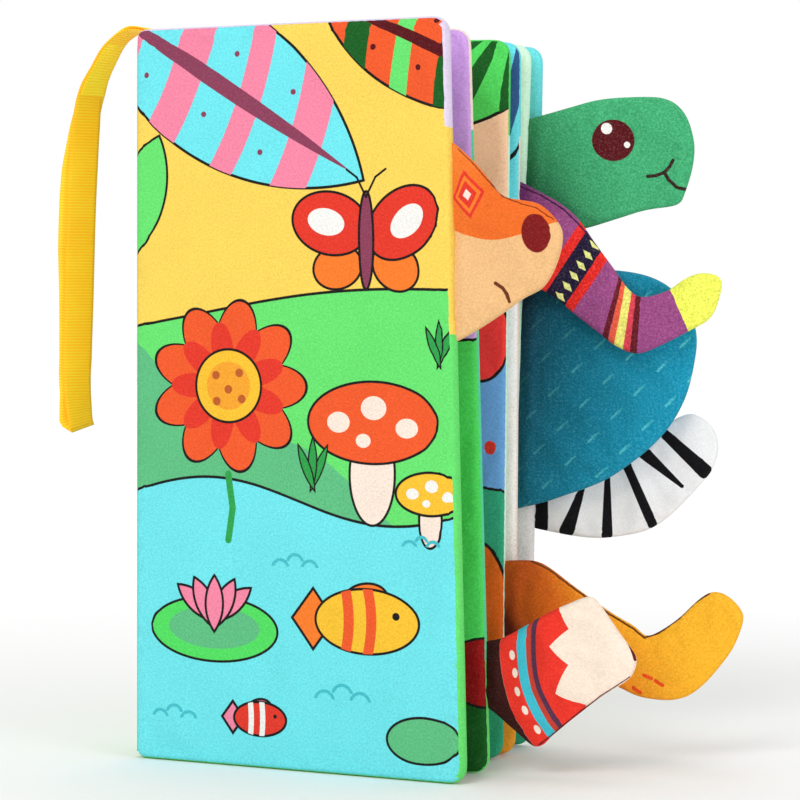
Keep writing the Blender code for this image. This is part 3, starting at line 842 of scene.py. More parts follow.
# Flap prints, in millimetres from the foot of each flap's seam
def pointed_head_print(origin):
    face = Cloth("pointed_head_print", dye(240, 110, 34), origin=origin)
    face.shaded((14.0, 46.0), (-6.0, 52.0), dye(246, 140, 52))
    for wide, high, colour in ((5.4, 7.4, RED), (4.2, 5.8, ORANGE), (3.0, 4.2, RED), (1.3, 1.7, CREAM)):
        face.fill("diamond", (4.4, 44.2), colour, turn=10, wide=wide, high=high)
    face.hill(33.3, dye(240, 190, 132), -2.8, 50.0, width=0.0)
    face.fill("oval", (26.2, 32.4), dye(128, 16, 16), turn=8, wide=4.5, high=5.7)
    face.line([(13.4, 17.6), (15.6, 16.2), (17.0, 14.4), (17.6, 12.2)], 0.55, dye(110, 50, 20))
    seam = [(1.0, 58.0), (6.0, 53.4), (10.6, 48.4), (15.2, 43.6), (20.0, 41.6), (26.0, 39.9), (31.6, 36.4)]
    face.line(seam, 0.16, dye(120, 40, 15))
    return face.done(grain=0.42)


def round_head_print(origin):
    face = Cloth("round_head_print", dye(66, 176, 118), origin=origin)
    face.shaded((34.0, 26.0), (0.0, 12.0), dye(8, 82, 44))
    face.fill("oval", (28.6, 29.0), MAROON, wide=6.8, high=6.6)
    face.fill("oval", (26.5, 32.7), WHITE, wide=1.8, high=1.8)
    face.fill("oval", (33.0, 27.6), WHITE, wide=1.0, high=1.0)
    smile = dye(50, 28, 20)
    face.line([(39.5, 17.6), (42.1, 17.8), (44.7, 18.8), (46.4, 20.6), (47.4, 22.6)], 0.55, smile)
    face.line([(44.7, 18.8), (46.2, 16.4), (48.6, 14.2), (52.2, 13.2)], 0.55, smile)
    return face.done(grain=1.0)


def banded_tail_print(origin):
    face = Cloth("banded_tail_print", dye(158, 76, 136), origin=origin)
    face.shaded((16.0, 36.0), (-2.0, 44.0), dye(104, 40, 100))
    middle, turn, spots = (18.4, 26.9), -33.4, (19.0, 26.1)
    red, night, pale = dye(238, 40, 34), dye(28, 16, 52), dye(240, 240, 150)
    face.fill("band", middle, red, turn=turn, half=6.9)
    face.fill("band", middle, night, turn=turn, half=3.7)
    along = math.radians(90 + turn)
    for number in range(6):
        reach = 3.9 * (number - 2.5)
        at = (spots[0] + reach * math.cos(along), spots[1] + reach * math.sin(along))
        face.fill("diamond", at, pale, turn=42, wide=1.0, high=2.2)
    dark, coral, yellow = dye(104, 14, 30), dye(236, 92, 66), dye(242, 236, 120)
    for start, end, half, colour in (
        ((33.1, 25.5), (27.0, 2.0), 0.85, dark), ((34.4, 25.0), (29.0, 0.0), 1.00, coral),
        ((35.9, 24.0), (31.8, -1.0), 1.50, yellow), ((37.5, 23.0), (34.2, -1.5), 1.00, dye(226, 66, 84)),
        ((38.6, 22.0), (36.5, -2.0), 0.95, dark),
    ):
        face.stripe(start, end, (half * 0.8, half * 1.2), colour)
    face.fill("band", (65.0, 13.4), dye(244, 250, 96), turn=23.7, half=12.6)
    seam = [(-0.6, 53.6), (7.7, 50.0), (14.2, 45.9), (19.0, 41.2), (23.4, 36.2), (29.3, 30.0), (33.4, 23.6)]
    face.line(seam, 0.30, dye(62, 20, 60))
    return face.done(grain=1.0)


def shell_print(origin):
    face = Cloth("shell_print", dye(14, 152, 186), origin=origin)
    face.fill("dashes", (3.0, 2.0), dye(84, 200, 216), turn=46, step=10.5, row=9.5, long=1.5, half=0.36)
    face.fill("dashes", (4.4, 3.2), dye(66, 184, 204), turn=46, step=10.5, row=9.5, long=1.0, half=0.28)
    face.shaded((62.0, 30.0), (-2.0, 46.0), dye(0, 40, 58))
    return face.done(grain=0.85, thread=0.95, ribs=0.3)


def striped_tail_print(origin):
    face = Cloth("striped_tail_print", dye(244, 244, 246), origin=origin)
    face.shaded((14.0, 14.0), (-6.0, 8.0), dye(196, 190, 198))
    for start, end, halves in (
        ((2.7, 12.0), (2.5, 3.4), (2.0, 2.3)), ((15.7, 16.0), (10.7, 2.2), (1.0, 2.4)),
        ((23.8, 20.0), (23.8, 1.0), (0.9, 1.8)), ((29.8, 24.5), (38.4, 4.6), (1.4, 1.6)),
        ((34.8, 28.5), (47.8, 17.1), (2.2, 0.6)), ((41.2, 35.0), (55.3, 21.8), (1.5, 2.4)),
    ):
        face.stripe(start, end, halves, dye(10, 8, 14))
    return face.done(grain=0.2, fleck=0.0)


def orange_tail_print(origin):
    face = Cloth("orange_tail_print", dye(252, 184, 40), origin=origin)
    face.shaded((58.0, 22.0), (30.0, 6.0), dye(238, 118, 20))
    face.shaded((36.0, 20.0), (4.0, 34.0), dye(196, 84, 16))
    face.shaded((12.0, 26.0), (4.0, 20.0), dye(104, 26, 10))
    for x, y, turn in ((45.4, 7.4, -22.0), (42.2, 3.2, -34.0), (49.0, 5.6, -30.0)):
        face.fill("stroke", (x, y), dye(236, 76, 24), turn=turn, long=1.3, half=0.55)
    rim = [(9.0, 42.9), (14.8, 40.2), (22.3, 34.6), (33.4, 26.8), (40.8, 22.4), (44.5, 19.4), (49.0, 21.0)]
    face.line([*rim, (55.0, 25.5), (60.2, 30.8), (64.6, 33.6)], 0.32, dye(104, 50, 12))
    return face.done(grain=0.55)


def red_tail_print(origin):
    face = Cloth("red_tail_print", dye(252, 232, 214), origin=origin)
    middle = (53.9, 31.0)
    cyan, night, brown = dye(62, 190, 210), dye(84, 48, 76), dye(196, 62, 48)
    red = dye(240, 52, 38)
    face.fill("ring", middle, red, radius=43.0, half=7.9, teeth=4.4, depth=6.4)
    rings = ((38.5, 40.1, night), (40.1, 41.6, brown), (41.6, 44.5, cyan), (44.5, 49.8, red))
    for inner, outer, colour in rings:
        radius, half = (inner + outer) / 2, (outer - inner) / 2
        face.fill("ring", middle, colour, radius=radius, half=half)
    for right, high in ((8.0, 27.8), (9.0, 22.5), (9.9, 17.0), (12.3, 11.5), (15.9, 5.6)):
        angle = math.degrees(math.atan2(middle[1] - high, middle[0] - right))
        face.fill("oval", (right, high), CREAM, turn=angle, wide=0.85, high=1.45)
    # Painted shade: a dark band across the root, where the flap turns back from the leaf
    face.fill("ring", middle, dye(58, 14, 12), radius=58.0, half=8.2)
    face.line([(46.0, 28.0), (44.9, 31.2), (41.5, 37.5), (35.5, 45.9)], 0.45, dye(96, 14, 30))
    face.line([(16.0, 0.6), (20.5, 4.2), (26.5, 9.4), (35.3, 16.5), (44.2, 22.6)], 0.22, dye(110, 20, 24))
    return face.done(grain=0.3)


FLAPS = {
    "pointed_head_flap": ("front_cover", POINTED_HEAD_SHARES, pointed_head_print),
    "red_tail_flap": ("leaf_1", RED_TAIL_SHARES, red_tail_print),
    "orange_tail_flap": ("leaf_2", ORANGE_TAIL_SHARES, orange_tail_print),
    "banded_tail_flap": ("leaf_3", BANDED_TAIL_SHARES, banded_tail_print),
    "round_head_flap": ("leaf_4", ROUND_HEAD_SHARES, round_head_print),
    "shell_flap": ("leaf_4", SHELL_SHARES, shell_print),
    "striped_tail_flap": ("back_cover", STRIPED_TAIL_SHARES, striped_tail_print),
}


class Leaf:
    """A leaf's own axes, read from its panels in the frame: along it, up, and out of its front."""

    def __init__(self, body):
        nodes = [frame["nodes"][f"{body}_{face}_panel"] for face in ("front", "back")]
        points = np.array([v.co for node in nodes for v in node.data.vertices], float)
        flat = points[:, :2] - points[:, :2].mean(0)
        along = np.linalg.eigh(flat.T @ flat)[1][:, 1]
        along = along if along[0] > 0 else -along
        self.along = Vector((along[0], along[1], 0.0))
        self.out = Vector((along[1], -along[0], 0.0))
        reach = points[:, :2] @ along
        depth = points[:, :2] @ np.array((self.out.x, self.out.y))
        self.start = reach.min()
        self.middle = (depth.min() + depth.max()) / 2
        self.height = points[:, 2].max()
        upper = points[:, 2] > self.height / 2
        self.top = reach[upper].max() - self.start
        self.bottom = reach[~upper].max() - self.start
        self.lean = (self.top - self.bottom) / self.height

    def place(self, u, v, w):
        """A point of the leaf's own axes, in the row frame."""
        return self.along * (self.start + u) + self.out * (self.middle + w) + UP * v

    def fore_edge(self, v):
        """The fore-edge's u at a height."""
        return self.bottom + self.lean * v

    def box(self, node):
        """A node's lowest and highest u and v on this leaf."""
        points = [v.co for v in frame["nodes"][node].data.vertices]
        reach = [point.dot(self.along) - self.start for point in points]
        rise = [point.z for point in points]
        return min(reach), max(reach), min(rise), max(rise)


def rounded_leaf(leaf, step):
    """A leaf's outline with round corners, as points a step apart, against the clock's turn from the foot."""
    corners = (
        (leaf.bottom, 0.0, FORE_CORNER, -90), (leaf.top, leaf.height, FORE_CORNER, 0),
        (0.0, leaf.height, SPINE_CORNER, 90), (0.0, 0.0, SPINE_CORNER, 180),
    )
    points = []
    for u, v, radius, start in corners:
        middle = math.radians(start + 45)
        centre = (u - math.copysign(radius, math.cos(middle)), v - math.copysign(radius, math.sin(middle)))
        for part in range(5):
            angle = math.radians(start + 90 * part / 4)
            points.append((centre[0] + radius * math.cos(angle), centre[1] + radius * math.sin(angle)))
    return spaced(points, step)


def spaced(points, step):
    """A closed outline with its points about a step apart, its own points kept."""
    line = []
    for (x1, y1), (x2, y2) in zip(points, [*points[1:], points[0]]):
        parts = max(1, round(math.hypot(x2 - x1, y2 - y1) / step))
        line += [(x1 + (x2 - x1) * i / parts, y1 + (y2 - y1) * i / parts) for i in range(parts)]
    return line


def smoothed(points, parts=5):
    """A smooth curve through a row of points, from the first to the last."""
    row = [Vector(point) for point in points]
    row = [row[0] * 2 - row[1], *row, row[-1] * 2 - row[-2]]
    curve = []
    for a, b, c, d in zip(row, row[1:], row[2:], row[3:]):
        for part in range(parts):
            t = part / parts
            square, cube = 2 * a - 5 * b + 4 * c - d, 3 * b - a - 3 * c + d
            curve.append((2 * b + (c - a) * t + square * t**2 + cube * t**3) / 2)
    return [*curve, Vector(points[-1])]


def edge_distance(points, outline):
    """How far each point is from a closed outline."""
    points = np.asarray(points, float)
    start = np.asarray(outline, float)
    run = np.roll(start, -1, 0) - start
    square = (run * run).sum(1)
    offset = points[:, None] - start[None]
    share = np.clip((offset * run).sum(2) / square, 0, 1)
    return np.sqrt((((offset - share[..., None] * run) ** 2).sum(2)).min(1))


def ring_points(outline, outward, insets):
    """Points in rows along an outline, each row drawn in by its inset. Crowded points are left out."""
    kept = []
    for inset in insets:
        row = outline - outward * inset
        clear = edge_distance(row, outline) > RING_CLEAR_SHARE * inset
        for point in row[clear]:
            if not kept or np.min(np.linalg.norm(np.array(kept) - point, axis=1)) > POINT_CROWDING:
                kept.append(point)
    return np.array(kept)


def inside_points(outline, step, inset):
    """Points in staggered rows inside an outline, kept clear of its seam."""
    low = np.min(outline, 0)
    high = np.max(outline, 0)
    rows = []
    rise = step * math.sqrt(3) / 2
    for number, v in enumerate(np.arange(low[1] + rise, high[1], rise)):
        shift = step / 2 * (number % 2)
        rows += [(u, v) for u in np.arange(low[0] + shift + step / 2, high[0], step)]
    points = np.array(rows)
    start = np.asarray(outline, float)
    end = np.roll(start, -1, 0)
    crosses = (start[:, 1] > points[:, None, 1]) != (end[:, 1] > points[:, None, 1])
    slope = (end[:, 0] - start[:, 0]) / np.where(end[:, 1] == start[:, 1], 1e-9, end[:, 1] - start[:, 1])
    meets = start[:, 0] + (points[:, None, 1] - start[:, 1]) * slope
    within = (crosses & (points[:, None, 0] < meets)).sum(1) % 2 == 1
    clear = edge_distance(points, outline) > inset + INNER_CLEAR_SHARE * step
    return points[within & clear]


def waves(points, seed, length):
    """Smooth unevenness from -1 to 1: a few crossing waves with seeded directions."""
    random = np.random.default_rng(seed)
    total = np.zeros(len(points))
    for _ in range(7):
        angle = random.uniform(0, math.pi)
        reach = length * random.uniform(0.6, 1.7)
        run = points @ np.array((math.cos(angle), math.sin(angle)))
        total += np.sin(run / reach * 2 * math.pi + random.uniform(0, 6))
    return total / 7


def padded_mesh(name, leaf, outline, step, rings, edge_half, crown_half, rise, wave, thin=None, wrapped=None):
    """A closed padded piece over an outline on a leaf: two cloths sewn to a band at the rim."""
    outline = np.asarray(outline, float)
    count = len(outline)
    outward = np.roll(outline, -1, 0) - np.roll(outline, 1, 0)
    outward = np.stack((outward[:, 1], -outward[:, 0]), 1)
    outward /= np.linalg.norm(outward, axis=1)[:, None]
    sewn = ring_points(outline, outward, rings)
    inner = inside_points(outline, step, rings[-1])
    flat = [Vector(point) for point in (*outline, *sewn, *inner)]
    ring_edges = [(i, (i + 1) % count) for i in range(count)]
    made = geometry.delaunay_2d_cdt(flat, ring_edges, [], 1, 1e-7)
    flat, faces = np.array(made[0]), [face[::-1] if area_of(made[0], face) < 0 else face for face in made[2]]
    edge = edge_distance(flat, outline)
    edge[:count] = 0.0
    bump = waves(flat, len(name), WAVE_LENGTH) * wave * np.clip(edge / WAVE_FADE, 0, 1)
    half = edge_half + (crown_half - edge_half) * (1 - np.exp(-edge / rise))
    if thin is not None:
        half = half * thin(flat)
    total = len(flat)
    rim = outline + outward * edge_half * RIM_SHARE
    rows = [(u, v, w) for (u, v), w in zip(flat, half + bump)]
    rows += [(u, v, w) for (u, v), w in zip(flat, bump - half)]
    rows += [(u, v, 0.0) for u, v in rim]
    polygons = [tuple(face) for face in faces]
    polygons += [tuple(i + total for i in reversed(face)) for face in faces]
    finish = [0] * len(faces) + [1] * len(faces) + [2] * (2 * count)
    if wrapped is not None:
        in_band = (edge < rings[0] * SEAM_BAND_SHARE) & wrapped(flat)
        finish[:len(faces)] = [2 if all(in_band[i] for i in face) else 0 for face in faces]
    middle = 2 * total
    for i in range(count):
        j = (i + 1) % count
        polygons.append((j, i, middle + i, middle + j))
        polygons.append((middle + j, middle + i, total + i, total + j))
    mesh = bpy.data.meshes.new(name)
    mesh.from_pydata([leaf.place(*row) for row in rows], [], polygons)
    mesh.polygons.foreach_set("material_index", finish)
    mesh.polygons.foreach_set("use_smooth", [True] * len(polygons))
    store_print(mesh, rows, np.concatenate((edge, edge, np.zeros(count))))
    piece = linked(name, mesh)
    held = piece.vertex_groups.new(name="rim")
    held.add([*range(count), *range(total, total + count), *range(middle, middle + count)], 1.0, "REPLACE")
    return piece


def store_print(mesh, places, edges):
    """Stores each point's place on the print and its distance from the seam."""
    for label, kind, key, values in (
        ("print", "FLOAT_VECTOR", "vector", places), ("edge", "FLOAT", "value", edges),
    ):
        stored = mesh.attributes.new(label, kind, "POINT")
        stored.data.foreach_set(key, np.array(values, np.float32).ravel())


def linked(name, data):
    """A new object in the scene."""
    thing = bpy.data.objects.new(name, data)
    bpy.context.collection.objects.link(thing)
    return thing


def area_of(points, face):
    """Twice the signed area of a flat face."""
    corners = [points[i] for i in face]
    return sum(a[0] * b[1] - b[0] * a[1] for a, b in zip(corners, [*corners[1:], corners[0]]))


def swollen(piece, cap):
    """Lets the cloth swell and pucker between its seams, no further than the cap."""
    swell = piece.modifiers.new("swell", "CLOTH")
    set_all(
        swell.settings, quality=4, mass=0.15, tension_stiffness=12, compression_stiffness=12,
        bending_stiffness=0.3, use_pressure=True, uniform_pressure_force=SWELL_PRESSURE,
        shrink_min=CLOTH_EXCESS, vertex_group_mass="rim",
    )
    swell.settings.effector_weights.gravity = 0
    swell.collision_settings.use_collision = False
    set_all(swell.point_cache, frame_start=1, frame_end=SWELL_FRAMES)
    scene = bpy.context.scene
    for number in range(1, SWELL_FRAMES + 1):
        scene.frame_set(number)
    evaluated = piece.evaluated_get(bpy.context.evaluated_depsgraph_get())
    moved = np.array([v.co for v in evaluated.data.vertices], float)
    rest = np.array([v.co for v in piece.data.vertices], float)
    piece.modifiers.remove(swell)
    scene.frame_set(1)
    shift = moved - rest
    far_moved = np.linalg.norm(shift, axis=1)
    share = np.minimum(1.0, cap / np.maximum(far_moved, 1e-9))
    rest += shift * share[:, None]
    piece.data.vertices.foreach_set("co", rest.astype(np.float32).ravel())
    piece.data.update()


def plain_mesh(piece):
    """Turns a piece with modifiers into a plain mesh."""
    graph = bpy.context.evaluated_depsgraph_get()
    mesh = bpy.data.meshes.new_from_object(piece.evaluated_get(graph), depsgraph=graph)
    piece.modifiers.clear()
    piece.vertex_groups.clear()
    piece.data = mesh


def finished(piece, finishes):
    """One subdivision, and the piece's finishes."""
    for material in finishes:
        piece.data.materials.append(material)
    set_all(piece.modifiers.new("smooth", "SUBSURF"), levels=1, render_levels=1)
    plain_mesh(piece)


def make_leaf(body):
    """One padded leaf with its prints."""
    leaf = Leaf(body)
    outline = rounded_leaf(leaf, LEAF_SPACING)
    cover = body == "front_cover"

    def at_fore_edge(points):
        return points[:, 0] > leaf.fore_edge(points[:, 1]) - 2 * LEAF_RINGS[0]

    edge_half = COVER_EDGE_HALF if cover else LEAF_EDGE_HALF
    piece = padded_mesh(
        f"{body}_cloth", leaf, outline, LEAF_SPACING, LEAF_RINGS, edge_half, LEAF_CROWN_HALF, LEAF_RISE,
        LEAF_WAVE, wrapped=at_fore_edge if cover else None,
    )
    swollen(piece, LEAF_SWELL_CAP)
    front, back, edge = LEAF_PRINTS[body]
    finished(piece, (front(), back(), edge_print(*edge)))
    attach(piece, body)
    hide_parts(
        *(f"{body}_{part}" for part in ("front_panel", "back_panel", "wadding", "crinkle_film")),
    )
    return leaf


def make_flap(name, leaf, shares, print_of):
    """One soft flap, sewn into its leaf's fore-edge."""
    _, right, foot, head = leaf.box(f"{name}_front")
    height = head - foot
    halfway = foot + height / 2
    middle = leaf.fore_edge(halfway)

    def on_leaf(point):
        v = foot + point[1] * height
        return (leaf.fore_edge(v) + point[0] * (right - middle), v)

    def thin(points):
        reach = points[:, 0] - leaf.fore_edge(points[:, 1])
        return np.clip(FLAP_ROOT_SHARE + reach / FLAP_ROOT_REACH, FLAP_ROOT_SHARE, 1.0)

    curve = [on_leaf(point) for point in smoothed(shares)]
    low, high = curve[0][1] + FLAP_TUCK / 2, curve[-1][1] - FLAP_TUCK / 2
    tuck = [(leaf.fore_edge(v) - FLAP_TUCK, v) for v in (high, low)]
    outline = even(spaced([*curve, *tuck], FLAP_SPACING), FLAP_SPACING)
    piece = padded_mesh(
        f"{name}_cloth", leaf, outline, FLAP_SPACING, FLAP_RINGS, FLAP_EDGE_HALF, FLAP_CROWN_HALF,
        FLAP_RISE, FLAP_WAVE, thin,
    )
    swollen(piece, FLAP_SWELL_CAP)
    finished(piece, [print_of((leaf.fore_edge(foot), foot))] * 3)
    centre = leaf.place(middle, halfway, 0.0)
    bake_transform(piece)
    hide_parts(f"{name}_front", f"{name}_back", f"{name}_filling")


def even(outline, step):
    """Drops outline points that crowd their neighbour."""
    kept = [outline[0]]
    for point in outline[1:]:
        if math.dist(point, kept[-1]) > CROWDED_SHARE * step:
            kept.append(point)
    if math.dist(kept[0], kept[-1]) <= CROWDED_SHARE * step:
        kept.pop()
    return kept


def grid_faces(columns, rows):
    """The faces of a sheet, whose points go up the first column, then up the next."""
    stride = rows + 1
    corners = [i * stride + j for i in range(columns) for j in range(rows)]
    return [(a, a + 1, a + stride + 1, a + stride) for a in corners]


def make_spine(leaves):
    """The cloth spine: one strip between each two leaves, bowed out across their hinge."""
    edges = [leaf.place(0.0, 0.0, 0.0) for leaf in leaves.values()]
    face = Cloth("spine_cloth", GREEN)
    face.fill("dashes", (0.0, 0.0), SOFT_GREEN, turn=20, step=9.0, row=7.0, long=1.2, half=0.5)
    material = face.done()
    height = leaves["leaf_3"].height - 2 * STRIP_MARGIN
    for number, (first, second) in enumerate(zip(edges, edges[1:])):
        run = second - first
        along = run.normalized()
        out = Vector((-along.y, along.x, 0.0))
        columns, rows = 8, 70
        points, places = [], []
        for face_side in (1, -1):
            for i in range(columns + 1):
                share = i / columns
                bulge = STRIP_OFF + STRIP_BULGE * math.sin(math.pi * share) + face_side * STRIP_HALF
                for j in range(rows + 1):
                    v = STRIP_MARGIN + height * j / rows
                    points.append(first + run * share + out * bulge + UP * v)
                    places.append((number * STRIP_PRINT_STEP + share * run.length, v, 0.0))
        stride = rows + 1
        layer = (columns + 1) * stride
        polygons = grid_faces(columns, rows)
        polygons += [tuple(layer + a for a in reversed(corners)) for corners in polygons]
        # The rim goes up, across, down and back
        rim = [*range(rows), *(i * stride + rows for i in range(columns))]
        rim += [layer - 1 - a for a in rim]
        polygons += [(a, layer + a, layer + b, b) for a, b in zip(rim, [*rim[1:], rim[0]])]
        piece = meshed(f"spine_fold_{number + 1}", points, polygons, places, material)
        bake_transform(piece)
        if number == 0:
            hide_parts("spine_strip")


def meshed(name, points, polygons, places, material):
    """A smooth closed piece with its print coordinates and one finish."""
    mesh = bpy.data.meshes.new(name)
    mesh.from_pydata(points, [], polygons)
    shape = bmesh.new()
    shape.from_mesh(mesh)
    bmesh.ops.recalc_face_normals(shape, faces=shape.faces)
    shape.to_mesh(mesh)
    shape.free()
    mesh.shade_smooth()
    store_print(mesh, places, np.full(len(points), FAR_FROM_SEAM))
    mesh.materials.append(material)
    return linked(name, mesh)


def stitch_tree():
    """Geometry nodes that lay stitches along a line."""
    kinds = [
        ("Geometry", "Geometry", None), ("Step", "Float", STITCH_STEP), ("Length", "Float", STITCH_LENGTH),
        ("Radius", "Float", STITCH_RADIUS), ("Thread", "Material", None),
    ]
    tree, given, leave = new_group("stitch_row", kinds, [("Geometry", "Geometry")], "GeometryNodeTree")
    line = added(tree, "GeometryNodeMeshToCurve", {"Mesh": given["Geometry"]}).outputs["Curve"]
    points = added(tree, "GeometryNodeCurveToPoints", {"Curve": line, "Length": given["Step"]}, mode="LENGTH")
    bead = added(tree, "GeometryNodeMeshUVSphere", {"Segments": 8, "Rings": 6, "Radius": given["Radius"]})
    stretch = Term(tree, given["Length"]) / Term(tree, given["Radius"]) / 2.0
    scale = added(tree, "ShaderNodeCombineXYZ", {0: 1.0, 1: 1.0, 2: stretch}).outputs[0]
    stitch = added(tree, "GeometryNodeTransform", {"Geometry": bead.outputs["Mesh"], "Scale": scale})
    row = added(tree, "GeometryNodeInstanceOnPoints", {
        "Points": points.outputs["Points"], "Rotation": points.outputs["Rotation"],
        "Instance": stitch.outputs["Geometry"],
    })
    real = added(tree, "GeometryNodeRealizeInstances", {"Geometry": row.outputs["Instances"]})
    sewn = {"Geometry": real.outputs["Geometry"], "Material": given["Thread"]}
    feed(tree, leave.inputs["Geometry"], added(tree, "GeometryNodeSetMaterial", sewn).outputs["Geometry"])
    return tree


def thread_finish():
    """Twisted sewing thread, on object coordinates."""
    material, tree, shader = new_material("sewing_thread", 0.6)
    where = added(tree, "ShaderNodeTexCoord").outputs["Object"]
    grain = noise_of(tree, where, 2500.0)
    feed(tree, shader.inputs["Base Color"], blended(tree, grain, dye(60, 180, 70), dye(130, 235, 130)))
    raised(tree, shader, grain)
    return material


def make_stitches():
    """The row of stitches down the middle of the spine."""
    low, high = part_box("spine_thread")
    x, y = (low.x + high.x) / 2, (low.y + high.y) / 2
    mesh = bpy.data.meshes.new("spine_stitches")
    mesh.from_pydata([(x, y, low.z), (x, y, high.z)], [(0, 1)], [])
    row = linked("spine_stitches", mesh)
    nodes = row.modifiers.new("stitches", "NODES")
    nodes.node_group = stitch_tree()
    entries = [item for item in nodes.node_group.interface.items_tree if item.in_out == "INPUT"]
    sockets = {entry.name: entry.identifier for entry in entries}
    for label, value in (
        ("Step", STITCH_STEP), ("Length", STITCH_LENGTH), ("Radius", STITCH_RADIUS),
        ("Thread", thread_finish()),
    ):
        nodes[sockets[label]] = value
    plain_mesh(row)
    row.data.shade_smooth()
    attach(row, "leaf_3")
    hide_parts("spine_thread")


def ribbon_finish(length):
    """Golden ribbed ribbon: level ribs, a selvedge at both sides, painted light on its second layer and
    across it, and a painted glow.
    """
    face = Cloth("ribbon_cloth", dye(250, 196, 34), roughness=0.55)
    tree, shader = face.tree, face.shader
    across, along, _ = parts_of(tree, face.place)
    ribs = (along / RIB_STEP * (2 * math.pi)).sine()
    soft = noise_of(tree, face.place, 0.09) - 0.5
    half_width = RIBBON_HALF_WIDTH * MILLIMETRES
    side = ((across.size() - half_width + SELVEDGE) / SELVEDGE_FADE).clamped()
    second = ((along - length * MILLIMETRES) / 2.0 + 0.5).clamped()
    # Painted light and shade: the second layer lighter, and the ribbon darker towards one side
    light = second * 0.30 - across / half_width * 0.10
    shade = (ribs * 0.22 + 0.24 + soft * 0.4 - side * 0.1 + light).clamped()
    colour = blended(tree, shade, dye(255, 174, 22), dye(255, 230, 58))
    raised(tree, shader, ribs * 0.5 + side * 0.5, strength=0.5)
    feed(tree, shader.inputs["Base Color"], colour)
    # Painted light: the ribbon glows a little in its own colour, to look brighter
    feed(tree, shader.inputs["Emission Color"], colour)
    shader.inputs["Emission Strength"].default_value = RIBBON_GLOW
    return face.material


def between(table, share):
    """A value read between a table's rows."""
    return float(np.interp(share, *zip(*table)))


def make_ribbon(leaf):
    """The ribbon loop: over the leaves' top, then turning to face front as it hangs."""
    left, _, low, _ = leaf.box("ribbon_loop")
    joint = next(j for j in frame["joints"] if j["name"] == "ribbon_hinge")
    root = Vector(joint["pos_m"])
    start = Vector((root.dot(leaf.along) - leaf.start, root.z))
    hang = math.radians(RIBBON_HANG_TURN_ANGLE)
    reach = start.x - left - RIBBON_HALF_WIDTH * math.sin(hang) - RIBBON_SPLAY
    drop = root.z - low

    def on_route(x, z):
        back = RIBBON_SET_BACK * min(1.0, x / RIBBON_SET_BACK_SHARE)
        return Vector((start.x - x * reach, start.y - z * drop, -back))

    route = smoothed([on_route(*shares) for shares in RIBBON_ROUTE_SHARES], 8)
    lengths = np.concatenate(([0.0], np.cumsum([(b - a).length for a, b in zip(route, route[1:])])))
    whole = lengths[-1]

    def at(distance):
        return Vector([float(np.interp(distance, lengths, [point[k] for point in route])) for k in range(3)])

    points, places = [], []
    rows = 2 * RIBBON_STEPS
    for row in range(rows + 1):
        share = 1 - abs(row / RIBBON_STEPS - 1)
        left_over = (1 - share) * whole
        back = row > RIBBON_STEPS
        near = (share, min(1.0, share + RIBBON_LOOK_SHARE), max(0.0, share - RIBBON_LOOK_SHARE))
        spot, ahead, behind = (at(whole * part) for part in near)
        run = (ahead - behind).normalized()
        turn = math.radians(between(RIBBON_TURNS, share))
        layer = RIBBON_LAYER_GAP / 2 * (1 if back else -1) * min(1.0, left_over / RIBBON_FOLD_RUN)
        aside = between(RIBBON_OFFSETS, share) if back else 0.0
        fold = max(0.0, 1 - left_over / RIBBON_FOLD_REACH)
        for side in range(RIBBON_ACROSS + 1):
            offset = (side / RIBBON_ACROSS * 2 - 1) * RIBBON_HALF_WIDTH
            lift = RIBBON_FOLD_RISE * fold * (offset / RIBBON_HALF_WIDTH + 1) / 2
            u = spot.x + offset * math.sin(turn) - aside - run.y * layer * math.cos(turn)
            w = spot.z - offset * math.cos(turn) - layer * math.sin(turn)
            v = spot.y - run.x * layer * math.cos(turn) + lift
            points.append(leaf.place(u, v, w))
            places.append((offset, row / RIBBON_STEPS * whole, 0.0))
    polygons = grid_faces(rows, RIBBON_ACROSS)
    piece = meshed("ribbon_cloth", points, polygons, places, ribbon_finish(whole))
    set_all(piece.modifiers.new("wall", "SOLIDIFY"), thickness=2 * RIBBON_HALF_THICKNESS, offset=0.0)
    plain_mesh(piece)
    piece.data.shade_smooth()
    inner = leaf.place(start.x + 0.001, start.y, 0.0)
    outer = leaf.place(start.x - 0.010, start.y, 0.0)
    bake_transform(piece)
    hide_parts("ribbon_loop")


def make_camera():
    data = bpy.data.cameras.new("camera")
    set_all(data, lens=CAMERA_LENS, sensor_width=36.0, shift_y=CAMERA_SHIFT)
    camera = linked("camera", data)
    camera.location = CAMERA_PLACE
    camera.rotation_euler = (math.pi / 2, 0.0, 0.0)
    bpy.context.scene.camera = camera


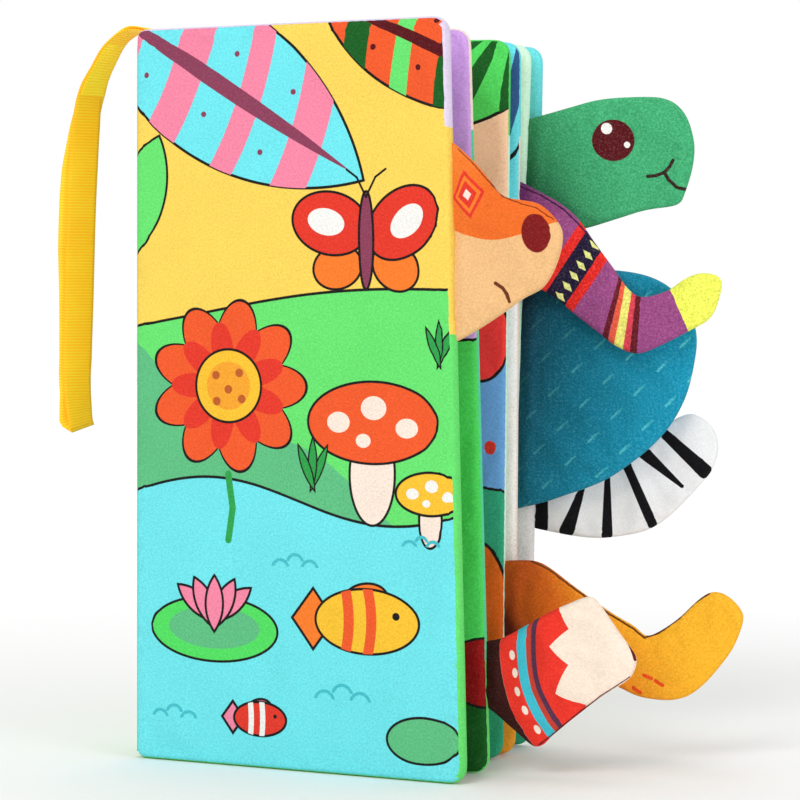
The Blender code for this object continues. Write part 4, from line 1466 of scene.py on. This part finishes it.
def background_share(tree):
    """1 for what the camera, a mirror or glass sees directly."""
    path = tree.nodes.new("ShaderNodeLightPath")
    rays = [Term(tree, path.outputs[f"Is {kind} Ray"]) for kind in ("Camera", "Glossy", "Transmission")]
    return rays[0].above(rays[1]).above(rays[2])


def make_stage():
    """White surroundings, soft lamps and a pale floor that keeps the shadow."""
    scene = bpy.context.scene
    scene.view_settings.view_transform = "Standard"
    world = bpy.data.worlds.new("studio")
    scene.world = world
    world.use_nodes = True
    tree = world.node_tree
    sky = tree.nodes["Background"].inputs
    feed(tree, sky["Strength"], background_share(tree) * (1.0 - WORLD_STRENGTH) + WORLD_STRENGTH)
    sky["Color"].default_value = (1, 1, 1, 1)
    for name, place, size, power in LAMPS:
        data = bpy.data.lights.new(name, "AREA")
        set_all(data, shape="DISK", size=size, energy=power)
        lamp = linked(name, data)
        lamp.location = place
        lamp.rotation_euler = (Vector(LAMP_AIM) - Vector(place)).to_track_quat("-Z", "Y").to_euler()
    half = FLOOR_SIZE / 2
    mesh = bpy.data.meshes.new("floor")
    corners = [(-half, -half), (half, -half), (half, half), (-half, half)]
    mesh.from_pydata([(x, y, -FLOOR_DEPTH) for x, y in corners], [], [(0, 1, 2, 3)])
    floor = linked("floor", mesh)
    material, tree, shader = new_material("pale_floor", 0.9)
    shader.inputs["Specular IOR Level"].default_value = 0.1
    where = added(tree, "ShaderNodeTexCoord").outputs["Object"]
    grain = noise_of(tree, where, 9.0)
    across, deep, _ = parts_of(tree, where)
    white = ((far(across, deep) - FLOOR_NEAR) / FLOOR_FADE).clamped() * background_share(tree)
    dusty = blended(tree, grain * 0.04, FLOOR_COLOUR, (0.8, 0.8, 0.8, 1.0))
    black = (0.0, 0.0, 0.0, 1.0)
    feed(tree, shader.inputs["Base Color"], blended(tree, white, dusty, black))
    feed(tree, shader.inputs["Emission Color"], blended(tree, white, black, (1.0, 1.0, 1.0, 1.0)))
    shader.inputs["Emission Strength"].default_value = 1.0
    mesh.materials.append(material)


make_camera()
leaves = {}
make_ribbon(Leaf("leaf_3"))
for body in LEAVES:
    leaves[body] = make_leaf(body)
for name, (body, shares, print_of) in FLAPS.items():
    make_flap(name, leaves[body], shares, print_of)
make_spine(leaves)
make_stitches()
make_stage()
